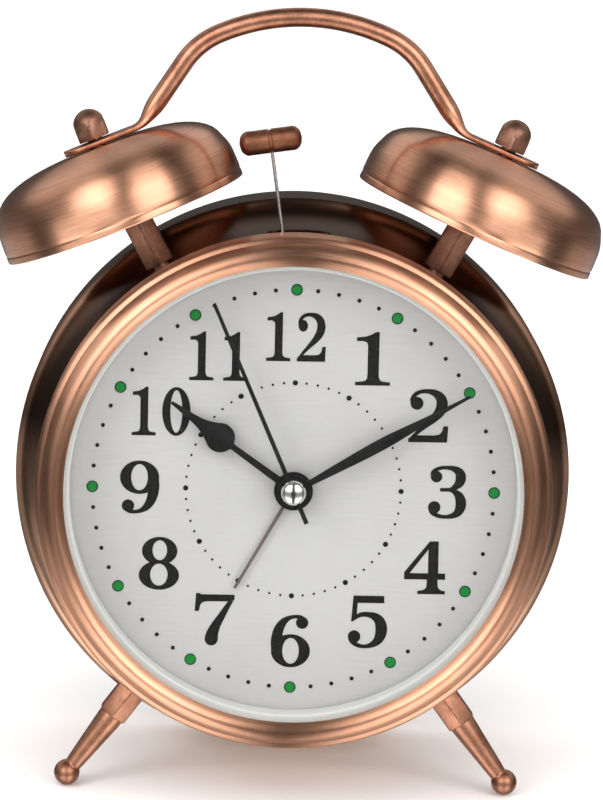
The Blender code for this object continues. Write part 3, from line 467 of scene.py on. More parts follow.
def polished(name, colour, roughness=0.05):
    """Chromed metal with a faint haze."""
    made, tree, shader, where = start(name, 1.0)
    haze = noise(tree, where, 700.0, detail=4.0)
    tone = blend(tree, fit(tree, haze, 0.35, 0.75), colour,
                 tuple(0.86 * c for c in colour))
    rough = (haze, 0.07, roughness - 0.02)
    drive(tree, shader, tone, rough, haze, 0.02, 0.02)
    return made


def moulded(name, colour, roughness=0.45, grain=1800.0, strength=0.16, specks=0.12,
            shine=0.5):
    """Moulded plastic with a fine spark-eroded texture and slightly uneven gloss."""
    made, tree, shader, where = start(name, 0.0, IOR=1.48, Specular_IOR_Level=shine)
    texture = noise(tree, where, grain, detail=3.0, roughness=0.6)
    cloud = noise(tree, where, 90.0, detail=3.0)
    lighter = tuple(min(1.0, c * (1 + specks) + 0.006) for c in colour)
    tone = blend(tree, fit(tree, math_node(tree, "MULTIPLY_ADD", texture, 0.6, cloud),
                           0.55, 1.05), colour, lighter)
    rough = (texture, 0.2, roughness - 0.1)
    drive(tree, shader, tone, rough, texture, strength, 0.04)
    return made


def silk_dial(name):
    """Pale dial enamel: a silky, very finely striped white with a faint lilac cast."""
    made, tree, shader, where = start(name, 0.0, IOR=1.45)
    stretched = scaled(tree, where, 0.05, 1.0, 1.0)
    silk = noise(tree, stretched, 2400.0, detail=3.0)
    cloud = noise(tree, where, 22.0, detail=2.0)
    tones = math_node(tree, "MULTIPLY_ADD", silk, 0.5, math_node(tree, "MULTIPLY", cloud, 0.5))
    tone = blend(tree, fit(tree, tones, 0.35, 0.65), (0.52, 0.5, 0.495),
                 (0.56, 0.54, 0.535))
    rough = (silk, 0.12, 0.36)
    drive(tree, shader, tone, rough, silk, 0.05, 0.02)
    return made


def printed(name, colour, lighter):
    """Printed ink: nearly even, with tiny pinholes of a lighter tone."""
    made, tree, shader, where = start(name, 0.0, IOR=1.45, Specular_IOR_Level=0.2)
    film = noise(tree, where, 1500.0, detail=4.0, roughness=0.7)
    tone = blend(tree, fit(tree, film, 0.5, 0.8), colour, lighter)
    rough = (film, 0.2, 0.38)
    drive(tree, shader, tone, rough, film, 0.1, 0.02)
    return made


def clear_lens(name):
    """Thin clear glass: what is behind shows straight through, with a gloss on top."""
    made = bpy.data.materials.new(name)
    made.use_nodes = True
    tree = made.node_tree
    tree.nodes.remove(tree.nodes["Principled BSDF"])
    where = node(tree, "ShaderNodeTexCoord").outputs["Object"]
    dust = noise(tree, where, 500.0, detail=4.0)
    rough = fit(tree, dust, 0.4, 0.8, 0.01, 0.05)
    gloss = node(tree, "ShaderNodeBsdfAnisotropic", Color=(1, 1, 1, 1), Roughness=rough)
    through = node(tree, "ShaderNodeBsdfTransparent", Color=(0.97, 0.98, 0.98, 1))
    # Schlick's curve is the same from both faces, so the inner one never mirrors it all back.
    turned = node(tree, "ShaderNodeLayerWeight", Blend=0.5).outputs["Facing"]
    shine = math_node(tree, "MULTIPLY_ADD", math_node(tree, "POWER", turned, 5.0), 0.96, 0.035)
    mixed = node(tree, "ShaderNodeMixShader", i0=shine, i1=through.outputs[0],
                 i2=gloss.outputs[0])
    tree.links.new(mixed.outputs[0], tree.nodes["Material Output"].inputs["Surface"])
    return made


def wound_wire(name):
    """Enamelled copper wire wound in close turns along X."""
    made, tree, shader, where = start(name, 1.0, Coat_Weight=0.5, Coat_Roughness=0.15)
    turns = node(tree, "ShaderNodeTexWave", {"bands_direction": "X"}, Vector=where,
                 Scale=1400.0, Distortion=0.6, Detail=1.0).outputs["Fac"]
    # Painted shade: the colour darkens in the grooves between turns, on the same bands as the
    # bump.
    colour = blend(tree, turns, (0.20, 0.05, 0.02), (0.62, 0.24, 0.10))
    rough = (turns, 0.1, 0.25)
    drive(tree, shader, colour, rough, turns, 0.6, 0.08)
    return made


def circuit_board(name):
    """Solder mask over etched tracks."""
    made, tree, shader, where = start(name, 0.0, IOR=1.5)
    tracks = node(tree, "ShaderNodeTexBrick", Vector=where, Scale=160.0, Color1=(0, 0, 0, 1),
                  Color2=(0.3, 0.3, 0.3, 1), Mortar=(1, 1, 1, 1), Mortar_Size=0.06).outputs["Fac"]
    weave = noise(tree, where, 1500.0, detail=2.0)
    colour = blend(tree, tracks, (0.012, 0.12, 0.05), (0.05, 0.26, 0.10))
    rough = (weave, 0.15, 0.3)
    drive(tree, shader, colour, rough, math_node(tree, "ADD", tracks, weave), 0.2, 0.03)
    return made


def cell_wrap(name):
    """A dry cell's sleeve: dark, with a copper-coloured band at one end."""
    made, tree, shader, where = start(name, 0.0, Coat_Weight=0.4, Coat_Roughness=0.2)
    end = node(tree, "ShaderNodeSeparateXYZ", i0=where).outputs["X"]
    band = fit(tree, end, 0.0118, 0.0122)
    film = noise(tree, where, 300.0, detail=3.0)
    colour = blend(tree, band, (0.02, 0.024, 0.035), (0.62, 0.30, 0.10))
    rough = (film, 0.2, 0.25)
    drive(tree, shader, colour, rough, film, 0.1, 0.03)
    return made


def make_looks():
    bright, dark = (0.84, 0.45, 0.29), (0.50, 0.24, 0.15)
    return {
        "bell": spun_metal("bell_copper", bright, dark, 0.31),
        "bezel": spun_metal("bezel_copper", bright, dark, 0.31, slope=0.6),
        # The case's colour is painted nearly black from its middle up: painted shade for the dark
        # studio it mirrors overhead.
        "case": spun_metal("case_copper", (0.62, 0.38, 0.26), (0.36, 0.20, 0.13), 0.24,
                           anisotropy=0.8, coat=0.05, painted_shade=(0.10, 0.055, 0.035)),
        "post": cast_metal("post_copper", (0.30, 0.14, 0.085), (0.17, 0.075, 0.05), 0.45),
        "bob": cast_metal("hammer_copper", (0.36, 0.155, 0.085), (0.20, 0.08, 0.045), 0.5),
        "antique": cast_metal("antique_copper", (0.52, 0.25, 0.155), (0.33, 0.145, 0.09), 0.42),
        "handle": cast_metal("handle_copper", (0.62, 0.29, 0.18), (0.33, 0.14, 0.08), 0.36,
                             coat=0.3),
        "nut": cast_metal("nut_copper", (0.42, 0.22, 0.15), (0.22, 0.11, 0.075), 0.48),
        "dial": silk_dial("dial_enamel"),
        "ink": printed("numeral_ink", (0.010, 0.009, 0.009), (0.045, 0.042, 0.040)),
        "green": printed("marker_green", (0.010, 0.22, 0.035), (0.03, 0.34, 0.07)),
        "hand": moulded("hand_lacquer", (0.008, 0.007, 0.007), 0.45, grain=1200.0,
                        strength=0.05, specks=0.5, shine=0.15),
        "grey": moulded("alarm_hand_lacquer", (0.115, 0.085, 0.083), 0.5, strength=0.05),
        "chrome": polished("cap_chrome", (0.88, 0.88, 0.86)),
        "lens": clear_lens("lens_glass"),
        "white": moulded("white_moulding", (0.72, 0.71, 0.69), 0.42, strength=0.06,
                         specks=0.03),
        "black": moulded("black_moulding", (0.016, 0.016, 0.017), 0.46, specks=0.6),
        "steel": drawn_steel("bright_steel"),
        "brass": drawn_steel("turned_brass", (0.78, 0.60, 0.26), (0.50, 0.36, 0.14)),
        "magnet": cast_metal("rotor_magnet", (0.20, 0.19, 0.19), (0.09, 0.085, 0.085), 0.5),
        "board": circuit_board("solder_mask"),
        "winding": wound_wire("enamelled_wire"),
        "cell": cell_wrap("cell_sleeve"),
    }


# --- Case, bezel and lens ---
def flare_radius(depth):
    """Outer radius of the trumpet-shaped drum at a depth behind the dial."""
    part = min(max((depth - FLARE_Y[0]) / (FLARE_Y[1] - FLARE_Y[0]), 0.0), 1.0)
    return COLLAR_R + (BAND_R - COLLAR_R) * (1 - math.sqrt(1 - part * part))


def make_case():
    quarter = [math.radians(90 * i / 24) for i in range(25)]
    flare = [FLARE_Y[0] + (FLARE_Y[1] - FLARE_Y[0]) * math.sin(a) for a in quarter]
    outer = [(COLLAR_R, COLLAR_FRONT_Y)] + [(flare_radius(y), y) for y in flare]
    rim = rounded([(BAND_R, RIM_Y - 3), (BAND_R, RIM_Y), (RIM_LIP_R, RIM_Y),
                   (RIM_LIP_R, RIM_Y - SHEET), (BAND_R - SHEET, RIM_Y - SHEET),
                   (BAND_R - SHEET, RIM_Y - 4)], 0.45, closed=False)
    inner = [(flare_radius(y) - SHEET, y) for y in flare[::-1] if y > SEAT_Y[1] + 1]
    inside = COLLAR_R - SHEET
    seat = [(inside, SEAT_Y[1]), (SEAT_R, SEAT_Y[1]), (SEAT_R, SEAT_Y[0]), (inside, SEAT_Y[0]),
            (inside, COLLAR_FRONT_Y)]
    case = lathe("drum_case", depths(outer + rim + inner + seat))
    cutters = [block("slot_cutter", (-6.5, 6.5), (7.75, 12.25), (44.0, 60.0), edge=1.2)]
    for side in (-1, 1):
        cutters.append(rod("foot_hole", STUD_HOLE_R, (42, 60), at=(0, FOOT_Y, 0),
                           turn=towards_rim(side * (math.pi - FOOT_ANGLE))))
        cutters.append(rod("post_hole", STUD_HOLE_R, (-8, 6), turn=towards_rim(side * POST_TILT),
                           at=(side * POST_FOOT[0], POST_Y, POST_FOOT[1])))
    finish(cut(case, *cutters), "case",
           stands_for=["case_shell"])


def make_front():
    bead = smooth([(46.3, -8.7), (47.2, -9.5), (48.3, -9.88), (49.6, -9.35), (50.6, -8.2),
                   (51.0, -7.2)], 6)
    skirt = rounded([(51.0, -7.2), (51.9, -6.75), (52.3, -5.8), (52.3, 1.5), (51.15, 1.5),
                     (51.15, -5.3), (50.2, -6.3)], (0, 0.35, 0.5, 0.35, 0.3, 0.3, 0),
                    closed=False)[1:]
    under = smooth([(50.2, -6.3), (49.7, -7.6), (48.3, -8.75), (46.9, -8.2)], 4)[1:]
    finish(lathe("bezel_ring", depths(bead + skirt + under)), "bezel",
           stands_for=["bezel"])
    disc = rounded([(0, LENS_Y[0]), (LENS_R, LENS_Y[0]), (LENS_R, LENS_Y[1]),
                    (0, LENS_Y[1])], 0.25, closed=False)
    finish(lathe("front_lens", depths(disc)), "lens",
           stands_for=["lens"])
    spacer = rounded([(DIAL_R, SPACER_Y[0]), (DIAL_R, SPACER_Y[1]),
                      (SPACER_IN_R, SPACER_Y[1]), (SPACER_IN_R, SPACER_Y[0])], 0.4)
    finish(lathe("dial_surround", depths(spacer)), "white",
           stands_for=["spacer_ring"])
    front, back = DIAL_Y
    disc = [(DIAL_R, front), (DIAL_R, back), (CENTRE_HOLE_R, back), (CENTRE_HOLE_R, front)]
    finish(lathe("dial_face", depths(rounded(disc, 0.08))), "dial",
           stands_for=["dial"])


# --- Numerals ---
def stroke(points, steps=6):
    """A pen stroke's outline from (x, y, half width) along its middle, round at both ends."""
    path = smooth(points, steps)
    left, right = [], []
    for i, (x, y, half) in enumerate(path):
        before, after = path[max(i - 1, 0)], path[min(i + 1, len(path) - 1)]
        heading = math.atan2(after[1] - before[1], after[0] - before[0])
        left.append((x - half * math.sin(heading), y + half * math.cos(heading)))
        right.append((x + half * math.sin(heading), y - half * math.cos(heading)))
        if i in (0, len(path) - 1):
            turn = 1 if i else -1
            cap = [heading + turn * math.radians(90 - a) for a in (30, 60, 90, 120, 150)]
            tip = [(x + half * math.cos(a), y + half * math.sin(a)) for a in cap]
            ends = (tip, path) if i == 0 else (ends[0], tip)
    return left + ends[1] + right[::-1] + ends[0]


def slab_foot(left, right, stem_left, stem_right, up):
    """The lower edge of a stem with a bracketed slab serif, from its right side round."""
    return [(stem_right, up), (stem_right + 0.01, 0.13), (stem_right + 0.045, 0.085),
            (right - 0.06, 0.067), (right, 0.064), (right, 0.0), (left, 0.0), (left, 0.064),
            (left + 0.06, 0.067), (stem_left - 0.045, 0.085), (stem_left - 0.01, 0.13),
            (stem_left, up)]


def six():
    bowl = ring(0.365, 72, (0.365, 0.314), 0.314 / 0.365)
    spine = stroke([(0.615, 0.90, 0.035), (0.55, 0.95, 0.04), (0.45, 0.963, 0.035),
                    (0.34, 0.94, 0.042), (0.23, 0.865, 0.068), (0.145, 0.73, 0.09),
                    (0.105, 0.56, 0.102), (0.102, 0.40, 0.102), (0.14, 0.24, 0.09)])
    ball = ring(0.116, 40, (0.575, 0.85))
    counter = ring(0.155, 56, (0.367, 0.313), 0.245 / 0.155)
    return [bowl, spine, ball], [counter]


def digit(which):
    """The outlines that make a digit and the holes in it; the digit is one unit tall."""
    if which == 0:
        return [ring(0.288, 72, (0.288, 0.5), 0.5 / 0.288)], [
            ring(0.122, 56, (0.288, 0.5), 0.435 / 0.122)]
    if which == 1:
        flag = [(0.228, 0.76), (0.205, 0.805), (0.14, 0.828), (0.02, 0.825), (0.02, 0.895),
                (0.19, 0.915), (0.30, 0.955), (0.375, 1.0), (0.44, 1.0)]
        return [flag + slab_foot(0.0, 0.65, 0.228, 0.436, 0.19)], []
    if which == 2:
        bowl = stroke([(0.075, 0.74, 0.045), (0.078, 0.82, 0.04), (0.13, 0.895, 0.04),
                       (0.23, 0.948, 0.038), (0.36, 0.957, 0.043), (0.50, 0.92, 0.068),
                       (0.60, 0.83, 0.095), (0.628, 0.705, 0.105), (0.585, 0.575, 0.097),
                       (0.47, 0.44, 0.072), (0.31, 0.30, 0.047), (0.17, 0.175, 0.036),
                       (0.06, 0.055, 0.034)])
        base = [(0.012, 0.0), (0.735, 0.0), (0.752, 0.305), (0.66, 0.305), (0.642, 0.215),
                (0.59, 0.152), (0.50, 0.132), (0.12, 0.13), (0.012, 0.07)]
        return [bowl, base, ring(0.12, 40, (0.162, 0.73))], []
    if which == 3:
        upper = stroke([(0.085, 0.80, 0.045), (0.105, 0.885, 0.04), (0.21, 0.948, 0.036),
                        (0.36, 0.963, 0.037), (0.50, 0.935, 0.06), (0.59, 0.865, 0.088),
                        (0.612, 0.77, 0.098), (0.585, 0.675, 0.086), (0.51, 0.60, 0.058),
                        (0.42, 0.553, 0.036), (0.26, 0.545, 0.036)])
        lower = stroke([(0.36, 0.55, 0.03), (0.48, 0.522, 0.045), (0.585, 0.43, 0.083),
                        (0.625, 0.29, 0.1), (0.59, 0.15, 0.085), (0.50, 0.07, 0.058),
                        (0.36, 0.037, 0.037), (0.21, 0.052, 0.04), (0.10, 0.115, 0.048),
                        (0.065, 0.20, 0.05)])
        return [upper, lower, ring(0.108, 40, (0.16, 0.79)), ring(0.116, 40, (0.13, 0.213))], []
    if which == 4:
        body = [(0.635, 0.395), (0.635, 1.0), (0.47, 1.0), (0.0, 0.41), (0.0, 0.277),
                (0.425, 0.277)]
        foot = slab_foot(0.254, 0.768, 0.425, 0.628, 0.19)[::-1]
        arm = [(0.628, 0.277), (0.768, 0.277), (0.768, 0.395)]
        return [body + foot + arm], [[(0.445, 0.845), (0.105, 0.395), (0.445, 0.395)]]
    if which == 5:
        bowl = stroke([(0.10, 0.535, 0.028), (0.165, 0.60, 0.038), (0.27, 0.643, 0.045),
                       (0.40, 0.64, 0.052), (0.52, 0.595, 0.078), (0.605, 0.50, 0.1),
                       (0.632, 0.35, 0.11), (0.59, 0.19, 0.092), (0.49, 0.088, 0.062),
                       (0.35, 0.038, 0.038), (0.21, 0.052, 0.04), (0.10, 0.12, 0.048),
                       (0.06, 0.20, 0.05)])
        stem = [(0.10, 1.0), (0.674, 1.0), (0.68, 0.862), (0.182, 0.862), (0.165, 0.60),
                (0.10, 0.506), (0.062, 0.506)]
        return [bowl, stem, ring(0.118, 40, (0.125, 0.222))], []
    if which == 6:
        return six()
    if which == 7:
        bar = [(0.0, 0.66), (0.082, 0.66), (0.102, 0.775), (0.15, 0.828), (0.24, 0.847),
               (0.66, 0.847), (0.742, 0.88), (0.742, 0.977), (0.105, 0.977), (0.10, 1.0),
               (0.022, 1.0)]
        stem = stroke([(0.70, 0.89, 0.035), (0.61, 0.755, 0.05), (0.51, 0.58, 0.066),
                       (0.41, 0.41, 0.085), (0.34, 0.25, 0.11), (0.318, 0.13, 0.126)])
        return [bar, stem], []
    if which == 8:
        return [ring(0.33, 72, (0.385, 0.735), 0.265 / 0.33),
                ring(0.376, 72, (0.376, 0.275), 0.275 / 0.376)], [
            ring(0.135, 48, (0.387, 0.748), 0.187 / 0.135),
            ring(0.162, 48, (0.375, 0.286), 0.208 / 0.162)]
    solids, holes = six()
    turned = [[[(0.73 - x, 1.0 - y) for x, y in outline] for outline in part]
              for part in (solids, holes)]
    return turned[0], turned[1]


def digit_mesh(which):
    """One digit as a clean solid, one unit tall."""
    solids, holes = digit(which)
    pieces = [plate("digit", outline, (-1, 1), turn=UPRIGHT) for outline in solids]
    for piece in pieces:
        piece.matrix_world = Matrix.Identity(4)
    if len(pieces) > 1:
        join(pieces[0], *pieces[1:])
    cutters = [plate("hole", outline, (-2, 2), turn=UPRIGHT) for outline in holes]
    for cutter in cutters:
        cutter.matrix_world = Matrix.Identity(4)
    if cutters:
        cut(pieces[0], *cutters)
    mesh = pieces[0].data
    bpy.data.objects.remove(pieces[0], do_unlink=True)
    return mesh


def make_numerals():
    """The twelve numerals, upright, as thin raised print, each centred on one circle."""
    widths = {0: 0.576, 1: 0.65, 2: 0.75, 3: 0.727, 4: 0.768, 5: 0.742, 6: 0.73, 7: 0.742,
              8: 0.752, 9: 0.73}
    meshes = {which: digit_mesh(which) for which in widths}
    condensed = {0: 1.0, 1: 0.755, 2: 0.79}
    shape = bmesh.new()
    for hour in range(1, 13):
        digits = [int(c) for c in str(hour)]
        tall = NUMERAL_H[len(digits)]
        squeeze = [condensed[d] if len(digits) == 2 else 1.0 for d in digits]
        gap = 0.2 if hour == 11 else 0.125
        total = sum(widths[d] * s for d, s in zip(digits, squeeze)) + gap * (len(digits) - 1)
        angle = math.radians(30 * hour)
        x = NUMERAL_R * math.sin(angle) - total * tall / 2
        z = NUMERAL_R * math.cos(angle) - tall / 2
        for d, s in zip(digits, squeeze):
            first = len(shape.verts)
            shape.from_mesh(meshes[d])
            shape.verts.ensure_lookup_table()
            for vert in shape.verts[first:]:
                lift = -PRINT_Y[0] if vert.co.z < 0 else -PRINT_Y[1]
                vert.co = (x + vert.co.x / MM * tall * s, z + vert.co.y / MM * tall, lift)
            x += (widths[d] * s + gap) * tall
    finish(made_of("dial_numerals", shape, place(turn=PRINT_TURN)), "ink")
    for mesh in meshes.values():
        bpy.data.meshes.remove(mesh)


def make_tracks():
    """Sixty dots round the numerals and sixty inside them."""
    black, green = bmesh.new(), bmesh.new()
    for minute in range(60):
        angle = math.radians(6 * minute)
        on_hour = minute % 5 == 0
        for radius, kind in ((OUTER_TRACK_R, "outline" if on_hour else "outer"),
                             (INNER_TRACK_R, "hour" if on_hour else "inner")):
            at = (radius * math.sin(angle), radius * math.cos(angle))
            prism(black, ring(DOT_R[kind], 24 if on_hour else 16, at), -PRINT_Y[0], -PRINT_Y[1])
        if on_hour:
            at = (OUTER_TRACK_R * math.sin(angle), OUTER_TRACK_R * math.cos(angle))
            prism(green, ring(DOT_R["green"], 32, at), -PRINT_Y[0], 0.09)
    finish(made_of("dial_dots", black, place(turn=PRINT_TURN)), "ink")
    finish(made_of("hour_markers", green, place(turn=PRINT_TURN)), "green")


# --- Hands ---
def hand(name, outline, boss, bore, depth, angle, look, body):
    """A flat hand with softened edges, pointing up its outline and turned to its place."""
    turn = Euler((math.pi / 2, angle, 0))
    blade = plate(name, outline, depth, turn=turn)
    disc = plate("boss", ring(boss, 72), depth, turn=turn)
    hole = rod("hand_bore", bore, (-depth[1] - 1, -depth[0] + 1))
    piece = bevel(cut(join(blade, disc), hole), 0.07)
    finish(piece, look, body=body, stands_for=[name.replace("blade", "hand")])


def mirrored(half):
    """A closed outline from its right half, listed from the bottom up."""
    return half + [(-x, y) for x, y in half[::-1] if x > 0]


def make_hands():
    bulb = arc(3.0, 18.4, range(16, 132, 8), -3.0)
    taper = smooth([bulb[-1], (1.55, 21.9), (1.05, 23.6), (0.75, 25.6), (0.5, 28.4),
                    (0.3, 30.6)], 4)[1:]
    hour = [(0.8, 0.0), (0.62, 15.2)] + bulb + taper
    minute = smooth([(0.6, 0.0), (0.62, 4.0), (0.85, 9.0), (1.12, 16.0), (1.18, 21.0),
                     (1.0, 25.0), (0.62, 31.0), (0.42, 36.0), (0.28, 40.6)], 4)
    second = [(0.46, -6.9), (0.46, 0.0), (0.36, 41.6)]
    alarm = [(0.38, 0.0), (0.28, 23.4)]
    hand("alarm_blade", mirrored(alarm), 3.3, 2.6, (-1.0, -0.65), ALARM_ANGLE, "grey",
         "alarm_disc")
    hand("hour_blade", mirrored(hour), 3.95, 1.95, (-2.2, -1.8), HOUR_ANGLE, "hand",
         "hours")
    hand("minute_blade", mirrored(minute), 3.4, 1.3, (-3.2, -2.8), MINUTE_ANGLE, "hand",
         "minutes")
    hand("second_blade", mirrored(second), 2.2, 0.65, (-4.2, -3.85), SECOND_ANGLE, "hand",
         "seconds")
    dome = [(0, -5.95)] + arc(2.55, -4.55, range(6, 91, 6), -1.4)
    dome += [(2.55, -4.45), (0.65, -4.45), (0.65, -5.2), (0, -5.2)]
    finish(lathe("cap_dome", depths(dome), steps=64), "chrome", body="seconds",
           stands_for=["hand_cap"])


# --- Bells, posts, feet and handle ---
def bell_point(side, height):
    """The point on a bell's axis at a height above its rim."""
    return (side * (BELL_RIM[0] + height * math.sin(BELL_TILT)), POST_Y,
            BELL_RIM[1] + height * math.cos(BELL_TILT))


def bell_side(radius, height, parts):
    """Points on the bell's curve at parts of its height."""
    return [(radius * (1 - part ** BELL_UP) ** (1 / BELL_OUT), height * part) for part in parts]


def make_bells():
    crown = [(BELL_R * s, BELL_H * (1 - s ** BELL_OUT) ** (1 / BELL_UP))
             for s in (0.3, 0.36, 0.42, 0.5, 0.58, 0.66, 0.73, 0.79, 0.84)]
    outer = crown + bell_side(BELL_R, BELL_H, [0.86, 0.82, 0.77, 0.71, 0.64, 0.56, 0.48, 0.4,
                                               0.32, 0.24, 0.17, 0.12])
    outer = [(min(radius, (BELL_REACH - height * math.sin(BELL_TILT)) / math.cos(BELL_TILT)),
              height) for radius, height in outer]
    # A shallow rolled lip: the wall steps in a hair above the rim.
    lip = [(BELL_R - 0.05, 1.75), (BELL_R - 0.16, 1.55), (BELL_R - 0.03, 1.35),
           (BELL_R, 1.1), (BELL_R, 0.25), (BELL_R - 0.12, 0.06), (BELL_R - 0.3, 0.0),
           (BELL_R - 0.7, 0.0), (BELL_R - 0.9, 0.08), (BELL_R - BELL_WALL, 0.3)]
    inner = bell_side(BELL_R - BELL_WALL, BELL_H - BELL_WALL,
                      [0.15, 0.3, 0.45, 0.6, 0.72, 0.82, 0.89, 0.94, 0.97, 0.988])
    profile = [(STUD_HOLE_R, BELL_FLAT), (BELL_FLAT_R, BELL_FLAT)] + outer + lip + inner
    profile.append((STUD_HOLE_R, BELL_FLAT - BELL_WALL))
    lug_top = BELL_FLAT + 2 * LUG_HALF_T + 2 * GAP
    nut_r = NUT_ACROSS / math.sqrt(3)
    dome = [(0, NUT_H)] + arc(3.3, NUT_H - 3.3, range(6, 91, 7))
    dome += [(3.6, NUT_H - 3.6), (3.6, 0.35), (3.3, 0.0), (0, 0.0)]
    for name, side in SIDES:
        turn = towards_rim(side * BELL_TILT)
        bell = lathe(f"gong_{name}", profile, at=bell_point(side, 0), turn=turn)
        finish(bell, "bell", stands_for=[f"bell_{name}"])
        at = bell_point(side, lug_top)
        cap = rod(f"acorn_nut_{name}", nut_r, (-0.5, NUT_H + 0.5), at=at, turn=turn, sides=6)
        combine(cap, "INTERSECT", lathe("dome", dome, at=at, turn=turn, steps=48))
        bore = rod("cap_bore", STUD_HOLE_R, (-1, 4.2), at=at, turn=turn)
        finish(bevel(cut(cap, bore), 0.16, angle=25), "nut",
               stands_for=[f"cap_nut_{name}"])


def make_posts():
    top, foot_at, nut_at, stud_at = 25.8, 1.0, (-5.0, -2.4), -6.0
    for name, side in SIDES:
        at = (side * POST_FOOT[0], POST_Y, POST_FOOT[1])
        turn = towards_rim(side * POST_TILT)
        post = bevel(rod(f"post_{name}", 3.4, (foot_at, top), at=at, turn=turn, sides=6), 0.22)
        lower = rod("lower_stud", STUD_R, (stud_at, foot_at + 2), at=at, turn=turn, sides=32)
        upper = rod("upper_stud", STUD_R, (10.0, 21.0), at=bell_point(side, 0),
                    turn=towards_rim(side * BELL_TILT), sides=32)
        finish(join(post, lower, upper), "post",
               stands_for=[f"bell_post_{name}"])
        hex_nut(f"post_clamp_{name}", 2.6, nut_at, at, turn, f"post_nut_{name}")


def hex_nut(name, radius, ends, at, turn, node_name):
    """A plain steel nut on a stud."""
    body = bevel(rod(name, radius + 0.35, ends, at=at, turn=turn, sides=6), 0.2)
    bore = rod("nut_bore", STUD_HOLE_R, (ends[0] - 1, ends[1] + 1), at=at, turn=turn, sides=32)
    finish(cut(body, bore), "steel", stands_for=[node_name])


def make_feet():
    hex_start, hex_end, cone_end, stud_end = 51.9, 60.5, 73.5, 45.5
    ball = arc(FOOT_BALL_R, FOOT_BALL_AT, range(0, 139, 6))
    neck = smooth([(1.72, cone_end), (1.95, 70.9), (2.3, 66.0), (2.62, 61.6)], 4)
    profile = ball + neck + [(2.65, hex_end - 0.5), (STUD_R, hex_end - 0.5),
                             (STUD_R, stud_end), (0, stud_end)]
    for name, side in SIDES:
        turn = towards_rim(side * (math.pi - FOOT_ANGLE))
        at = (0, FOOT_Y, 0)
        foot = lathe(f"leg_{name}", profile, at=at, turn=turn, steps=56)
        grip = bevel(rod("grip", 3.4, (hex_start, hex_end - 0.1), at=at, turn=turn, sides=6),
                     0.3, 3)
        finish(join(foot, grip), "antique",
               stands_for=[f"foot_{name}"])
        hex_nut(f"foot_clamp_{name}", 2.25, (46.6, 49.2), at, turn, f"foot_nut_{name}")


def handle_half():
    """Centre line of the right half, from the top: (x, z, heading below level, length)."""
    x, z, slope, run = 0.0, HANDLE_TOP_Z, 0.0, 0.0
    stations = [(x, z, slope, run)]

    def bend(radius, end, count):
        nonlocal x, z, slope, run
        step = (end - slope) / count
        for _ in range(count):
            after = slope + step
            x += radius * (math.sin(after) - math.sin(slope))
            z -= radius * (math.cos(slope) - math.cos(after))
            run += abs(radius * step)
            slope = after
            stations.append((x, z, slope, run))

    def straight(length, count):
        nonlocal x, z, run
        for _ in range(count):
            x += length / count * math.cos(slope)
            z -= length / count * math.sin(slope)
            run += length / count
            stations.append((x, z, slope, run))

    for radius, end in HANDLE_BENDS:
        bend(radius, end, 16)
    leg, lug = leg_and_lug(x, z, slope)
    straight(leg, 10)
    flat_from = run - FLAT_LEAD
    bend(-LUG_BEND_R, BELL_TILT, 12)
    flat_to = run
    straight(lug + LUG_PAST_STUD - LUG_HALF_W, 6)
    parts = [math.sin(math.radians(90 * i / 9)) for i in range(10)]
    for before, after in zip(parts, parts[1:]):
        straight(LUG_HALF_W * (after - before), 1)
    return stations, flat_from, flat_to


def leg_and_lug(x, z, slope):
    """Lengths of the straight leg, and of the lug as far as the bell's stud."""
    stud_x, _, stud_z = bell_point(1, BELL_FLAT + GAP + LUG_HALF_T)
    out = stud_x - x - LUG_BEND_R * (math.sin(slope) - math.sin(BELL_TILT))
    down = z - stud_z - LUG_BEND_R * (math.cos(BELL_TILT) - math.cos(slope))
    turn = math.sin(slope - BELL_TILT)
    leg = (down * math.cos(BELL_TILT) - out * math.sin(BELL_TILT)) / turn
    lug = (out * math.sin(slope) - down * math.cos(slope)) / turn
    return leg, lug


def handle_section(station, flat_from, flat_to, end, sides=30):
    """A round section that is hammered wide and thin towards the lug, then rounded off."""
    x, z, slope, run = station
    part = min(max((run - flat_from) / (flat_to - flat_from), 0.0), 1.0)
    part = part * part * (3 - 2 * part)
    half_w = HANDLE_ROD_R + (LUG_HALF_W - HANDLE_ROD_R) * part
    half_t = HANDLE_ROD_R + (LUG_HALF_T - HANDLE_ROD_R) * part
    past = max(run - (end - LUG_HALF_W), 0.0)
    half_w *= math.sqrt(max(1 - (past / LUG_HALF_W) ** 2, 0.0004))
    power = 2 / (2 + 2 * part)
    points = []
    for i in range(sides):
        angle = 2 * math.pi * (i + 0.5) / sides
        across = half_w * math.copysign(abs(math.cos(angle)) ** power, math.cos(angle))
        up = half_t * math.copysign(abs(math.sin(angle)) ** power, math.sin(angle))
        points.append(Vector((x + up * math.sin(slope), across, z + up * math.cos(slope))))
    return points


def make_handle():
    stations, flat_from, flat_to = handle_half()
    end = stations[-1][3]
    right = [handle_section(s, flat_from, flat_to, end) for s in stations]
    left = [[Vector((-p.x, p.y, p.z)) for p in points] for points in right[:0:-1]]
    shape = bmesh.new()
    rings = [[shape.verts.new(point) for point in points] for points in left + right]
    shape.faces.new(rings[0][::-1])
    shape.faces.new(rings[-1])
    skin(shape, rings)
    handle = made_of("carry_handle", shape, place((0, POST_Y, 0)))
    holes = [rod("lug_hole", STUD_HOLE_R, (12, 24), at=bell_point(side, 0),
                 turn=towards_rim(side * BELL_TILT), sides=32) for side in (-1, 1)]
    finish(cut(handle, *holes), "handle", stands_for=["handle"])


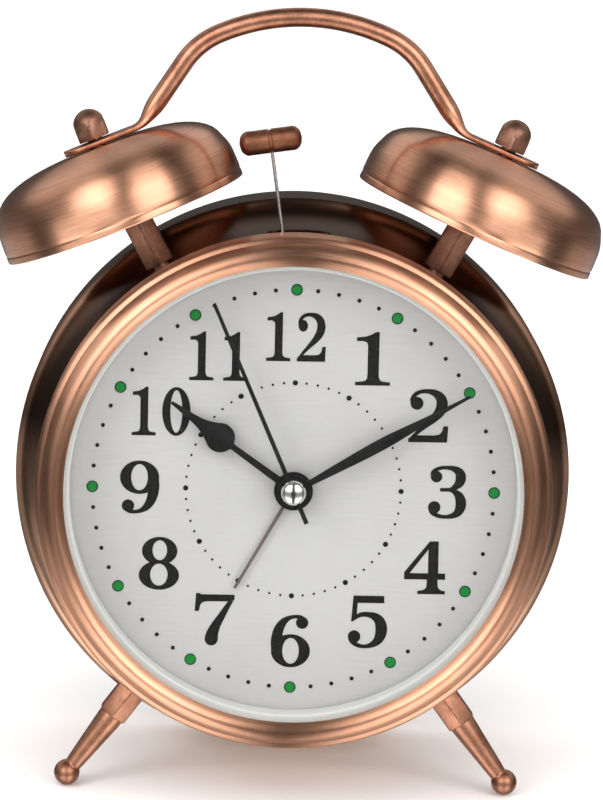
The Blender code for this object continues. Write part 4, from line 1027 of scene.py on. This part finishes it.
# --- Hammer ---
def make_hammer():
    swing = place((PIVOT[0], POST_Y, PIVOT[1]), towards_rim(HAMMER_LEAN))
    half = HAMMER_L / 2 - BOB_CLEAR
    end = smooth([(0, half), (1.3, half - 0.25), (2.1, half - 0.85), (HAMMER_R, half - 1.6),
                  (HAMMER_R, half - 2.4)], 4)
    groove = [(HAMMER_R, 0.42), (HAMMER_R - 0.2, 0.22), (HAMMER_R - 0.2, -0.22),
              (HAMMER_R, -0.42)]
    profile = end + groove + [(r, -h) for r, h in end[::-1]]
    head = lathe("hammer_bob", profile, at=(0, 0, HAMMER_REACH), turn=ALONG_X, steps=64,
                 parent=swing)
    bore = rod("head_bore", 0.65, (HAMMER_REACH - 4, HAMMER_REACH + 0.8), turn=UPRIGHT,
               sides=24, parent=swing)
    finish(cut(head, bore), "bob", body="hammer",
           stands_for=["hammer_head"])
    wire = rod("hammer_stalk", WIRE_R, (3.6 + GAP, HAMMER_REACH + 0.4), turn=UPRIGHT,
               sides=20, parent=swing, edge=0.08)
    finish(wire, "steel", body="hammer", stands_for=["hammer_wire"])


# --- Back ---
def ring_groove(name, radii, depth, x=0, steps=TURNS):
    """A cutter for a shallow round groove in the cover's outer face."""
    inner, outer = radii
    past = COVER_Y[1] + 0.5
    return lathe(name, depths([(outer, depth), (outer, past), (inner, past), (inner, depth)]),
                 at=(x, 0, 0), steps=steps)


def make_rear_cover():
    front, back = COVER_Y
    through, through_y = (-32, -27), (27, 32)
    inner, outer = COVER_SKIRT_R
    profile = rounded([(0, front), (inner, front), (inner, COVER_SKIRT_Y),
                       (outer, COVER_SKIRT_Y), (COVER_R, front), (COVER_R, back), (0, back)],
                      0.4, closed=False)
    cover = lathe("back_cover", depths(profile))
    cutters = [block("window", (-28, 28), through_y, (TRAY_Z[0] + 1.2, TRAY_Z[1] - 1.2), 0.5),
               block("switch_slot", (-6.2, 6.2), through_y, (18.6, 21.4), 0.4)]
    for x in (-KNOB_X, KNOB_X):
        cutters.append(rod("knob_hole", 1.8, through, at=(x, 0, 0)))
        cutters.append(ring_groove("knob_ring", (5.9, 6.4), 30.2, x, 72))
    for x, z in PILLARS:
        cutters.append(rod("screw_hole", SCREW_HOLE_R, through, at=(x, 0, z)))
    cutters.append(ring_groove("edge_groove", (50.4, 51.2), 30.15))
    # A fan of sound slots, pressed part of the way through the cover.
    for row in range(-3, 4):
        half = 9.0 - 1.1 * abs(row)
        z = 38.0 + 2.0 * row
        cutters.append(block("sound_slot", (-half, half), (30.05, 31.5), around(z, 0.45), 0.3))
    finish(cut(cover, *cutters), "black",
           stands_for=["rear_cover"])


def make_knobs():
    """Fluted, slightly domed knobs, each with a shallow dish in its face."""
    front, back = KNOB_Y
    flutes, flute_depth = 20, 0.32
    sides = 8 * flutes
    for name, x, body in (("time", -KNOB_X, "time_setting"), ("alarm", KNOB_X, "alarm_setting")):
        shape = bmesh.new()
        rings = []
        stack = [(0.92, back), (0.975, back - 0.15), (1.0, back - 0.5), (1.0, front + 0.4),
                 (0.97, front)]
        for scale, depth in stack:
            rings.append([])
            for i in range(sides):
                angle = 2 * math.pi * i / sides
                ripple = 0.5 - 0.5 * math.cos(angle * flutes)
                radius = scale * (KNOB_R - flute_depth * ripple ** 2)
                rings[-1].append(shape.verts.new(
                    (radius * math.cos(angle), radius * math.sin(angle), -depth)))
        shape.faces.new(rings[0])
        shape.faces.new(rings[-1][::-1])
        skin(shape, rings)
        knob = made_of(f"{name}_dial_knob", shape, place((x, 0, 0), FACING))
        bore = rod("knob_bore", 1.45, (-35.3, -30), at=(x, 0, 0), sides=32)
        dish = lathe("dish", depths([(0, back - 0.35), (2.4, back - 0.3), (3.3, back + 0.1),
                                     (3.3, back + 1), (0, back + 1)]), at=(x, 0, 0), steps=48)
        finish(cut(knob, bore, dish), "black", body=body,
               stands_for=[f"{name}_knob"])


def make_door():
    x, y, z = DOOR
    door = block("cell_door", x, y, z, edge=0.35)
    grooves = [block("grip_groove", (-6, 6), (31.8, 33), (-25.6 - 1.6 * i, -24.8 - 1.6 * i),
                     0.2) for i in range(4)]
    # A fine frame is cut a little way inside the door's edges.
    wide, tall, cut_y = (x[0] + 1.6, x[1] - 1.6), (z[0] + 1.6, z[1] - 1.6), (32.12, 33)
    border = [block("border", wide, cut_y, around(edge, 0.25)) for edge in tall]
    border += [block("border", around(edge, 0.25), cut_y, tall) for edge in wide]
    finish(cut(door, *grooves, *border), "black", body="door",
           stands_for=["battery_door"])


def make_switch():
    slider = block("slide_button", around(SWITCH_X, 2.6), (30.8, 33.2), (17.8, 22.2), 0.3)
    stem = block("stem", around(SWITCH_X, 1.3), (27.6, 31.4), (19.0, 21.0))
    flange = block("flange", around(SWITCH_X, 2.4), (27.0, 28.6), (17.6, 22.4), 0.2)
    grooves = [block("thumb_groove", around(SWITCH_X + at, 0.25), (32.7, 34), (17, 23))
               for at in (-1.2, -0.4, 0.4, 1.2)]
    finish(cut(join(slider, stem, flange), *grooves), "black", body="switch",
           stands_for=["alarm_switch"])


def make_screws():
    for i, (x, z) in enumerate(PILLARS, 1):
        pan = [(0, 32.0)] + arc(2.5, 31.0, range(10, 91, 10), 1.0)
        pan += [(2.5, 30.8), (1.1, 30.8)]
        for thread in range(8):
            at = 30.2 - thread
            pan += [(1.12, at), (0.92, at - 0.5)]
        pan += [(0.7, 22.0), (0, 22.0)]
        screw = lathe(f"pan_screw_{i}", depths(pan), at=(x, 0, z), steps=36)
        slots = [block("cross", around(x, wide), (31.2, 33), around(z, tall))
                 for wide, tall in ((1.5, 0.3), (0.3, 1.5))]
        finish(cut(screw, *slots), "steel",
               stands_for=[f"cover_screw_{i}"])


# --- What stays from the CAD ---
def dress_inner_parts():
    """The movement's hidden CAD parts keep their shapes and get finer materials."""
    looks = {
        "white": ["dial_plate", "movement_front", "centre_wheel", "third_wheel", "idler_wheel",
                  "hour_wheel", "alarm_wheel", "time_arbor", "alarm_arbor", "hammer_crank"],
        "black": ["movement_rear", "battery_tray", "hammer_lever"],
        "steel": ["hammer_bracket", "hammer_motor", "hammer_pivot_pin", "stator", "coil_core",
                  "second_arbor", "battery_contact", "battery_spring", "quartz_crystal"],
        "brass": ["cannon_pinion"],
        "magnet": ["rotor"],
        "board": ["circuit_board"],
        "winding": ["coil_winding"],
        "cell": ["battery_cell"],
    }
    for look, names in looks.items():
        for name in names:
            for slot in frame["nodes"][name].material_slots:
                slot.material = LOOKS[look]


# --- Stage ---
CAMERA_REACH = 850.0
CAMERA_RISE, CAMERA_SIDE = math.radians(8.8), math.radians(-0.7)
CAMERA_ROLL = math.radians(1.65)
LENS, SENSOR = 188.55, 36.0
# The dial sits a little below and to the left of the picture's middle.
AIM_ABOVE, AIM_RIGHT = math.radians(1.226), math.radians(0.111)
AMBIENT = 1.12
# The studio that gloss mirrors: (degrees, level) round from the front, and by elevation.
STUDIO_ROUND = ((0, 0.02), (9, 0.02), (15, 1.0), (50, 1.0), (58, 0.03), (84, 0.03),
                (100, 0.22), (180, 0.14))
STUDIO_UP = ((-60, 0.3), (-28, 1.0), (-19, 0.03), (12, 0.03), (20, 1.0), (44, 1.0), (56, 0.06),
             (90, 0.04))
STUDIO_GAIN, STUDIO_DARK = 5.0, 0.02
# The lamps, in metres and watts: (name, azimuth, elevation, size, power).
SOFTBOX_REACH, SOFTBOX_AIM = 1.1, (0, 0, 0.07)
SOFTBOXES = (("left_softbox", -52, 30, (0.55, 0.8), 4.5),
             ("right_softbox", 52, 25, (0.55, 0.8), 4.0),
             ("top_softbox", 0, 78, (0.9, 0.6), 2.5))


def make_camera():
    data = bpy.data.cameras.new("camera")
    data.sensor_width = SENSOR
    data.lens = LENS
    data.clip_start, data.clip_end = 0.05, 50.0
    camera = bpy.data.objects.new("camera", data)
    bpy.context.scene.collection.objects.link(camera)
    level = math.cos(CAMERA_RISE)
    away = Vector((level * math.sin(CAMERA_SIDE), -level * math.cos(CAMERA_SIDE),
                   math.sin(CAMERA_RISE)))
    eye = CLOCK @ (away * CAMERA_REACH * MM)
    turn = (DIAL_CENTRE - eye).to_track_quat("-Z", "Y")
    turn = turn @ Quaternion((0, 0, 1), CAMERA_ROLL)
    turn = turn @ Quaternion((1, 0, 0), AIM_ABOVE) @ Quaternion((0, 1, 0), -AIM_RIGHT)
    camera.rotation_mode = "QUATERNION"
    camera.location, camera.rotation_quaternion = eye, turn
    bpy.context.scene.camera = camera


def softbox(name, azimuth, elevation, size, power):
    """An area light that faces the clock; azimuth 0 is in front of it, 90 to its right."""
    a, e = math.radians(azimuth), math.radians(elevation)
    middle = Vector(SOFTBOX_AIM)
    away = Vector((math.sin(a) * math.cos(e), -math.cos(a) * math.cos(e), math.sin(e)))
    data = bpy.data.lights.new(name, "AREA")
    data.shape = "RECTANGLE"
    data.size, data.size_y = size
    data.energy = power
    light = bpy.data.objects.new(name, data)
    light.location = middle + away * SOFTBOX_REACH
    light.rotation_mode = "QUATERNION"
    light.rotation_quaternion = away.to_track_quat("Z", "Y")
    light.visible_glossy = False
    bpy.context.scene.collection.objects.link(light)


def ramp(tree, value, stops):
    """A grey level for a value, from (position, level) stops."""
    made = node(tree, "ShaderNodeValToRGB", i0=value)
    made.color_ramp.interpolation = "B_SPLINE"
    points = made.color_ramp.elements
    while len(points) < len(stops):
        points.new(0.5)
    for point, (position, level) in zip(points, stops):
        point.position = position
        point.color = (level, level, level, 1)
    return made.outputs["Color"]


def make_world():
    """Even light on everything, and for gloss a studio to mirror: a white sweep behind, a
    tall softbox to each side of the camera, and dark between them, beside and overhead."""
    world = bpy.data.worlds.new("studio")
    bpy.context.scene.world = world
    world.use_nodes = True
    tree = world.node_tree
    towards = node(tree, "ShaderNodeTexCoord").outputs["Generated"]
    parts = node(tree, "ShaderNodeSeparateXYZ", i0=towards).outputs
    forward = math_node(tree, "MULTIPLY", parts["Y"], -1.0)
    turn = math_node(tree, "ABSOLUTE", math_node(tree, "ARCTAN2", parts["X"], forward))
    round_it = ramp(tree, math_node(tree, "DIVIDE", turn, math.pi),
                    [(degrees / 180, level) for degrees, level in STUDIO_ROUND])
    above = ramp(tree, math_node(tree, "MULTIPLY_ADD", parts["Z"], 0.5, 0.5),
                 [(0.5 + 0.5 * math.sin(math.radians(degrees)), level)
                  for degrees, level in STUDIO_UP])
    mirrored_level = math_node(tree, "MULTIPLY_ADD", math_node(
        tree, "MULTIPLY", round_it, above), STUDIO_GAIN, STUDIO_DARK)
    glossy = node(tree, "ShaderNodeLightPath").outputs["Is Glossy Ray"]
    level = node(tree, "ShaderNodeMix", {"data_type": "FLOAT"}, i0=glossy, i2=AMBIENT,
                 i3=mirrored_level).outputs[0]
    tree.links.new(level, tree.nodes["Background"].inputs["Strength"])
    tree.nodes["Background"].inputs["Color"].default_value = (1.0, 0.985, 0.97, 1)


def make_stage():
    bpy.context.scene.view_settings.view_transform = "Standard"
    make_world()
    shape = bmesh.new()
    bmesh.ops.create_grid(shape, x_segments=4, y_segments=4, size=4000)
    floor = made_of("floor", shape, Matrix.Identity(4))
    made, tree, shader, where = start("floor_card", 0.0, Specular_IOR_Level=0.1)
    cloud = noise(tree, where, 4.0, detail=2.0)
    tone = blend(tree, cloud, (0.90, 0.90, 0.90), (0.93, 0.93, 0.93))
    drive(tree, shader, tone, (cloud, 0.1, 0.85), cloud, 0.02, 1.0)
    floor.data.materials.append(made)
    floor.visible_glossy = False
    for lamp in SOFTBOXES:
        softbox(*lamp)


LOOKS = make_looks()
make_camera()
make_case()
make_front()
make_numerals()
make_tracks()
make_hands()
make_bells()
make_posts()
make_feet()
make_handle()
make_hammer()
make_rear_cover()
make_knobs()
make_door()
make_switch()
make_screws()
dress_inner_parts()
make_stage()

bpy.context.view_layer.update()
